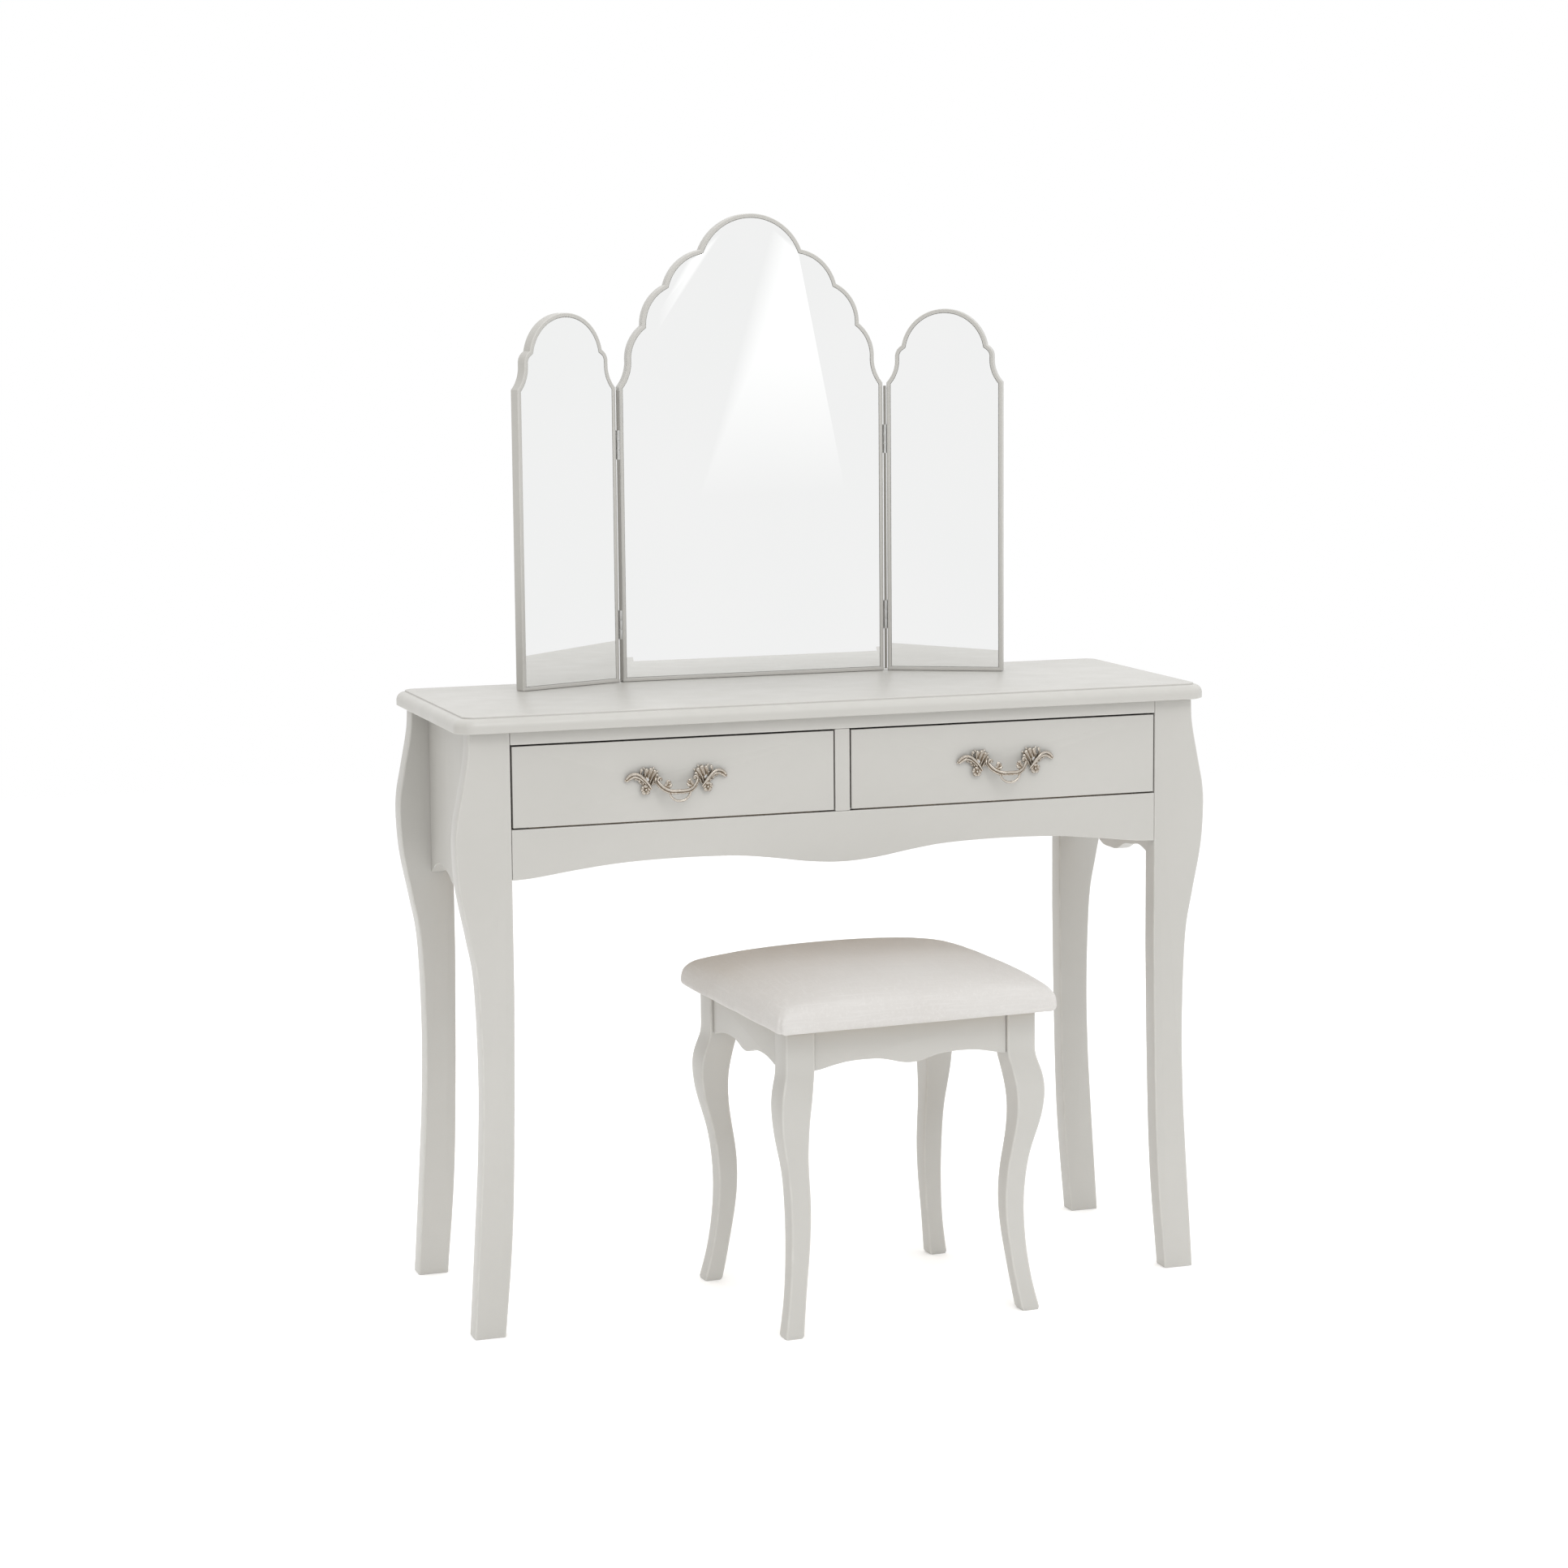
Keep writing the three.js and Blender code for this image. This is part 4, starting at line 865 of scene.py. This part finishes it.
verts, faces = [], []
for k in range(1, RINGS):
    verts += [seat_point(p * (k / RINGS * 0.99), 0.0004) for p in rim]
for z in (0.0020, 0.005, 0.008, 0.0115):
    bulge = 1.0 + 0.003 * math.sin(math.pi * z / BAND)
    verts += [seat_point(p * bulge, z) for p in rim]
shares = [1.0 - ROLL_SHARE * (1 - math.cos(math.pi / 2 * k / 14)) for k in range(15)]
shares += list(np.linspace(shares[-1], 0.03, RINGS)[1:])
for share in shares:
    for p in rim:
        height = cushion_height(p[0] * share / half[0], p[1] * share / half[1], 1 - share)
        verts.append(seat_point(p * share, height))
belts = len(verts) // RIM_POINTS
for k in range(belts - 1):
    low, high = k * RIM_POINTS, (k + 1) * RIM_POINTS
    pairs = [(i, (i + 1) % RIM_POINTS) for i in range(RIM_POINTS)]
    faces += [(low + i, low + j, high + j, high + i) for i, j in pairs]
faces.append(tuple(reversed(range(RIM_POINTS))))
faces.append(tuple(range(len(verts) - RIM_POINTS, len(verts))))
cushion = add_piece("linen_cushion", verts, faces, linen)
bpy.context.view_layer.objects.active = cushion
print("cushion blank:", [round(d, 3) for d in cushion.dimensions])


# %% [markdown]
# A cloth solver likes small even squares, so the blank is remeshed first. The stapled rim can't move at all,
# and the band above it is held a little, because firm foam stands behind it. The number of steps is fixed
# and nothing is random, so the cushion is the same every time. No point may move further than a few
# millimetres, which keeps the pad close to its working model.

# %% Settle the cover
def apply_modifiers(piece):
    """Turns the piece's modifiers into its mesh."""
    bpy.context.view_layer.update()
    done = bpy.data.meshes.new_from_object(piece.evaluated_get(bpy.context.evaluated_depsgraph_get()))
    piece.modifiers.clear()
    old, piece.data = piece.data, done
    bpy.data.meshes.remove(old)


remesh = cushion.modifiers.new("even squares", "REMESH")
remesh.mode, remesh.voxel_size = "VOXEL", 0.005
apply_modifiers(cushion)
before = np.array([v.co for v in cushion.data.vertices])
MOST = 0.007  # furthest that a point may move
pinned = cushion.vertex_groups.new(name="stapled")
for i, z in enumerate(before[:, 2] - seat_low.z):
    pinned.add([i], float(np.interp(z, (0.006, BAND, BAND + ROLL + 0.006), (1.0, 0.8, 0.0))), "REPLACE")
cloth = cushion.modifiers.new("cover", "CLOTH")
cloth.settings.quality = 6
cloth.settings.mass = 0.25
cloth.settings.tension_stiffness = cloth.settings.compression_stiffness = 12
cloth.settings.bending_stiffness = 0.6
cloth.settings.use_pressure = True
cloth.settings.uniform_pressure_force = 4.0
cloth.settings.vertex_group_mass = "stapled"
cloth.settings.effector_weights.gravity = 0.0
cloth.collision_settings.use_self_collision = False
for step in range(1, 21):
    bpy.context.scene.frame_set(step)
apply_modifiers(cushion)
bpy.context.scene.frame_set(1)
after = np.array([v.co for v in cushion.data.vertices])
moved = after - before
length = np.linalg.norm(moved, axis=1)
moved *= np.minimum(1.0, MOST / np.maximum(length, 1e-9))[:, None]
after = before + moved
print("cover moved by up to", round(float(length.max()) * 1000, 1), "mm, kept to", MOST * 1000)

# %% [markdown]
# The folds come after the solver, because its even squares are too coarse for them. One round of subdivision
# makes room. A fold is a narrow groove down each corner with a soft lip beside it, deepest at the rim and
# gone before the crown. Short puckers run in from the staples along the band.

# %% Corner folds and puckers
FOLD_CORE = 0.020  # how far in from both sides a fold starts
cushion.data.vertices.foreach_set("co", after.ravel())
finer = cushion.modifiers.new("finer", "SUBSURF")
finer.levels = finer.render_levels = 1
apply_modifiers(cushion)
points = np.array([v.co for v in cushion.data.vertices])
normals = np.array([v.normal for v in cushion.data.vertices])
offset = points - np.array(seat_middle)
a = offset @ np.array(stool_side)
b = offset @ np.array(stool_front)
height = points[:, 2] - seat_low.z
push = np.zeros(len(points))
for sign_a in (-1, 1):
    for sign_b in (-1, 1):
        core = np.array((sign_a * (half[0] - FOLD_CORE), sign_b * (half[1] - FOLD_CORE)))
        angle = np.arctan2((b - core[1]) * sign_b, (a - core[0]) * sign_a) - math.radians(40)
        far = np.hypot(a - core[0], b - core[1])
        beside = angle * far
        here = np.clip((far - 0.006) / 0.010, 0, 1) * np.clip((0.034 - height) / 0.020, 0, 1)
        here *= (angle > -1.2) & (angle < 1.2)
        push -= 0.0016 * here * np.exp(-((beside / 0.0020) ** 2))
        push += 0.0009 * here * np.exp(-(((beside - 0.0046) / 0.0030) ** 2))
around = np.arctan2(b / half[1], a / half[0])
wave = np.sin(61 * around) * 0.6 + np.sin(37 * around + 1.3) * 0.4
low_band = np.exp(-(((height - 0.004) / 0.007) ** 2)) * (np.abs(normals[:, 2]) < 0.75)
push += 0.00035 * wave * low_band
points += normals * push[:, None]
points[:, 2] = np.maximum(points[:, 2], seat_low.z)
cushion.data.vertices.foreach_set("co", points.ravel())
cushion.data.update()
print("folds and puckers: up to", round(float(np.abs(push).max()) * 1000, 1), "mm")

# %% [markdown]
# The board sits inside the cover, so the underside has a pocket for it. A block slightly larger than the
# board is taken out of the finished cushion.

# %% Pocket for the seat board
board = board_plan("seat_board", (0, 0, 1))
pocket_steps = [(-0.0006, board["back"] - 0.004, 0.0), (-0.0006, board["front"] + 0.0004, 0.0)]
pocket = loft("pocket", board, board["line"], pocket_steps, linen)
hollowed = cushion.modifiers.new("pocket", "BOOLEAN")
hollowed.operation, hollowed.object, hollowed.solver = "DIFFERENCE", pocket, "EXACT"
apply_modifiers(cushion)
bpy.data.objects.remove(pocket)
cushion.data.shade_smooth()
cushion.data.set_sharp_from_angle(angle=math.radians(60))
stand_for(cushion, "seat_cushion")
print("cushion:", len(cushion.data.vertices), "points,", [round(d, 3) for d in cushion.dimensions])

# %% [markdown]
# ## The cast pulls
# Each pull is one casting: two sprays of acanthus leaves with a small flower under each, joined by a bar that
# leaves the sprays in a double scroll, and a half ring hanging under its middle. A modeller would roll these
# from wax and press them together. The same is done here. Every stem, leaf and petal is a tapering roll along
# a few points, and a voxel remesh then melts the rolls into one skin, with the soft joints of a casting.


# %% Wax rolls
def roll(verts, faces, points, widths, flatten=1.0, sides=10):
    """A tapering roll through (right, up, out) points. `flatten` squeezes it towards the drawer."""
    points = [Vector(p) for p in points]
    steps = 7 * (len(points) - 1)
    spine, thick = [], []
    for s in range(steps + 1):
        t = s / 7
        i = min(int(t), len(points) - 2)
        f = t - i
        p0, p1, p2 = points[max(i - 1, 0)], points[i], points[i + 1]
        p3 = points[min(i + 2, len(points) - 1)]
        bend, twist = 2 * p0 - 5 * p1 + 4 * p2 - p3, 3 * p1 - p0 - 3 * p2 + p3
        spine.append(0.5 * (2 * p1 + (p2 - p0) * f + bend * f**2 + twist * f**3))
        thick.append(float(np.interp(t, range(len(widths)), widths)))
    start = len(verts)
    for k, centre in enumerate(spine):
        along = (spine[min(k + 1, steps)] - spine[max(k - 1, 0)]).normalized()
        beside = along.cross(Vector((0, 0, 1)))
        beside = beside.normalized() if beside.length > 1e-3 else Vector((1, 0, 0))
        above = beside.cross(along)
        for i in range(sides):
            angle = 2 * math.pi * i / sides
            verts.append(centre + (beside * math.cos(angle) + above * math.sin(angle) * flatten) * thick[k])
    for k in range(steps):
        low, high = start + k * sides, start + (k + 1) * sides
        faces += [(low + i, low + (i + 1) % sides, high + (i + 1) % sides, high + i) for i in range(sides)]
    faces.append(tuple(reversed(range(start, start + sides))))
    faces.append(tuple(range(len(verts) - sides, len(verts))))


def ball(verts, faces, centre, radius, squash=0.8):
    """A bead: a short roll that swells and closes again."""
    x, y, z = centre
    ring = [(x, y - radius * math.cos(k * math.pi / 6), z) for k in range(7)]
    roll(verts, faces, ring, [max(radius * math.sin(k * math.pi / 6), 0.05) for k in range(7)], squash)


# %% [markdown]
# One half of the pull is written in millimetres from the pull's middle: how far to the right, how far above
# the screws and how far in front of the drawer. The other half is its mirror image.


# %% Half a pull
def scroll(x, y, z, radius, start, turns, width, end_width):
    """A curl that winds inwards from its rim. Angles are in degrees."""
    count = max(8, int(abs(turns) / 26))
    points, widths = [], []
    for k in range(count + 1):
        angle = math.radians(start + turns * k / count)
        reach = radius * (1 - 0.62 * k / count)
        points.append((x + reach * math.cos(angle), y + reach * math.sin(angle), z))
        widths.append(width + (end_width - width) * k / count)
    return points, widths


def half_pull(verts, faces):
    """Adds the rolls of one half of a pull to the lists."""
    # the long stem that ends in a drooping leaf tip, and the leaf's lower lobes
    stem = [(64.6, 1.4, 3.0), (61, 5.4, 4.2), (55.6, 7.6, 5.6), (49, 6.4, 6.8), (42.8, 1.4, 7.6)]
    stem += [(37.2, -5.2, 7.6), (32.6, -12.0, 5.6)]
    roll(verts, faces, stem, [1.7, 2.0, 1.9, 1.7, 1.6, 1.5, 1.1], 0.9)
    under = [(64.2, -1.6, 2.4), (60, 1.4, 3.6), (54.4, 3.6, 4.4), (48, 2.2, 5.0), (42, -2.6, 5.4)]
    under.append((37.6, -8.4, 4.8))
    roll(verts, faces, under, [1.5, 1.9, 1.8, 1.6, 1.4, 0.9], 0.8)
    roll(verts, faces, [(66.2, -1.8, 2.0), (64.4, 1.2, 2.6), (60.4, 3.2, 3.0)], [0.8, 2.0, 1.4], 0.7)
    # the fan of leaves above the stem
    leaves = (
        ((45.0, 4.0), (46.4, 8.6), (44.6, 13.4), 2.1),
        ((41.5, -1.0), (40.4, 6.8), (37.6, 13.0), 2.9),
        ((38.4, -4.2), (35.6, 4.6), (31.8, 13.6), 3.1),
        ((35.6, -6.6), (31.6, 2.4), (26.6, 10.8), 2.8),
        ((33.2, -8.6), (28.4, -0.6), (23.8, 5.6), 2.3),
    )
    for foot, belly, tip, width in leaves:
        curl_over = (tip[0] * 0.8 + belly[0] * 0.2, tip[1] * 0.86 + belly[1] * 0.14, 4.6)
        leaf = [(*foot, 2.6), (*belly, 4.2), curl_over, (*tip, 2.0)]
        roll(verts, faces, leaf, [0.9, width * 0.8, width, 1.2], 0.45)
        vein = [(*foot, 3.4), (belly[0] + 0.3, belly[1], 5.4), (*tip, 3.6)]
        roll(verts, faces, vein, [0.6, 0.7, 0.4], 0.9)
    for tip in ((42.6, 15.4), (28.0, 14.8), (22.4, 9.8)):
        leaf = [(37.0, 0.0, 2.4), ((tip[0] + 36) / 2, tip[1] * 0.6, 2.8), (*tip, 1.8)]
        roll(verts, faces, leaf, [0.8, 1.6, 0.9], 0.6)
    # small leaves under the stem
    small = (
        ((54, 3.8), (53.4, -1.2), 1.6),
        ((49.5, 3.0), (48.2, -4.6), 2.0),
        ((44.5, -0.4), (43.6, -8.6), 1.8),
    )
    for foot, tip, width in small:
        middle = ((foot[0] + tip[0]) / 2 - 1.4, (foot[1] + tip[1]) / 2, 4.0)
        roll(verts, faces, [(*foot, 3.0), middle, (*tip, 2.0)], [1.0, width, 0.7], 0.6)
    # the flower
    for k in range(5):
        angle = math.radians(72 * k + 18)
        ways = Vector((math.cos(angle), math.sin(angle)))
        rise = ((0.8, 3.6), (3.0, 5.0), (5.0, 5.2), (6.8, 4.0))
        petal = [(*(Vector((40.2, -12.6)) + ways * d), z) for d, z in rise]
        roll(verts, faces, petal, [1.4, 2.9, 3.3, 1.6], 0.42)
    ball(verts, faces, (40.2, -12.6, 6.4), 1.7)
    # a web of metal behind the spray, and the boss that takes the screw
    web = [(58, 3, 0.9), (48, 2, 1.2), (40, -1, 1.3), (30, 1, 1.2), (26, 4, 0.9)]
    roll(verts, faces, web, [1.6, 4.2, 8.0, 8.6, 4.0], 0.13)
    roll(verts, faces, [(39, -14, 1.0), (37, -6, 1.2), (34, 2, 1.2)], [3.4, 4.2, 5.0], 0.2)
    ball(verts, faces, (38, 0, 2.6), 4.2, 0.75)
    # the bar: a double scroll that runs out to the straight middle
    curl, widths = scroll(22.6, -0.6, 9.0, 3.4, -25, 250, 1.7, 1.4)
    outer = [(0, -13.9, 20.0), (7, -13.9, 19.8), (12.8, -13.0, 18.4), (18.6, -10.2, 15.2), (23.4, -5.8, 11.4)]
    roll(verts, faces, outer + curl, [1.9, 1.9, 1.85, 1.8, 1.7] + widths, 1.0)
    ball(verts, faces, (22.2, -0.4, 9.6), 1.7)
    inner = [(0, -16.9, 19.4), (8, -17.0, 19.0), (14.2, -16.2, 17.4), (20.2, -13.0, 13.8)]
    inner += [(25.2, -8.2, 9.6), (27.6, -3.0, 6.6), (27.0, 1.6, 4.8)]
    roll(verts, faces, inner, [1.2, 1.2, 1.3, 1.4, 1.45, 1.4, 1.0], 1.0)
    # a bud that stands on the bar
    bud = [(18.6, -9.6, 14.8), (15.2, -9.4, 15.8), (11.6, -8.0, 16.4), (10.0, -5.4, 15.8)]
    roll(verts, faces, bud, [1.3, 2.0, 2.1, 1.2], 0.8)
    ball(verts, faces, (13.6, -2.4, 14.6), 2.3)
    for tip in ((17.6, -3.0), (19.4, -5.6), (10.2, -2.6), (15.6, -0.2)):
        leaf = [(15.6, -9.0, 15.0), ((tip[0] + 15.2) / 2, (tip[1] - 8.0) / 2, 15.6), (*tip, 14.4)]
        roll(verts, faces, leaf, [1.1, 1.5, 0.8], 0.7)
    # the half ring
    ring = [(0, -26.8, 19.6), (4.8, -26.0, 19.6), (9.2, -23.4, 19.4), (12.4, -19.6, 18.9), (14.0, -15.8, 18.0)]
    roll(verts, faces, ring, [1.65, 1.65, 1.55, 1.45, 1.2], 1.0)


# %% [markdown]
# After the melt, each point is compared with the average of its neighbours. Where the neighbours stand
# proud, the point lies in a hollow. That number is stored on the casting, and the silver finish puts its
# brown there: patina, and painted shade in the hollows.

# %% Cast both pulls
DEEPEST = 0.00028  # a hollow of this depth, in metres, takes the whole range of the number


def measure_hollows(mesh, rounds=3):
    """For each point, 0.5 where the skin is level, more in a hollow and less on a ridge."""
    points = np.array([v.co for v in mesh.vertices])
    normals = np.array([v.normal for v in mesh.vertices])
    ends = np.array([e.vertices for e in mesh.edges])
    count = np.bincount(ends.ravel(), minlength=len(points))[:, None]

    def neighbours(values):
        total = np.zeros_like(values)
        np.add.at(total, ends[:, 0], values[ends[:, 1]])
        np.add.at(total, ends[:, 1], values[ends[:, 0]])
        return total / count

    near = points
    for _ in range(rounds):
        near = neighbours(near)
    hollow = ((near - points) * normals).sum(1)[:, None]
    return np.clip(0.5 + neighbours(hollow)[:, 0] / DEEPEST, 0, 1)


for side in ("left", "right"):
    verts, faces = [], []
    half_pull(verts, faces)
    other = len(verts)
    verts += [Vector((-v.x, v.y, v.z)) for v in verts]
    faces += [tuple(other + i for i in reversed(f)) for f in faces]
    screw_low, screw_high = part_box(f"{side}_handle_left_screw")
    pull_low, pull_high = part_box(f"{side}_handle")
    middle = Vector(((pull_low.x + pull_high.x) / 2, pull_high.y, (screw_low.z + screw_high.z) / 2))
    placed = [middle + Vector((v.x, -v.z, v.y)) / 1000 for v in verts]
    pull = add_piece(f"{side}_cast_pull", placed, faces, silver)
    melt = pull.modifiers.new("melt", "REMESH")
    melt.mode, melt.voxel_size = "VOXEL", 0.0004
    ease = pull.modifiers.new("ease", "SMOOTH")
    ease.factor, ease.iterations = 0.5, 2
    apply_modifiers(pull)
    mesh = pull.data
    for v in mesh.vertices:
        v.co.y = min(v.co.y, middle.y)
    mesh.attributes.new("hollow", "FLOAT", "POINT").data.foreach_set("value", measure_hollows(mesh))
    mesh.shade_smooth()
    stand_for(pull, f"{side}_handle")
print("each pull:", len(mesh.vertices), "points,", [round(d, 4) for d in pull.dimensions])

# %% [markdown]
# Last, the size of the finished pieces is measured and printed.

# %% Measure and finish
low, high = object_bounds()
print("visual size:", [round(b - a, 4) for a, b in zip(low, high)])
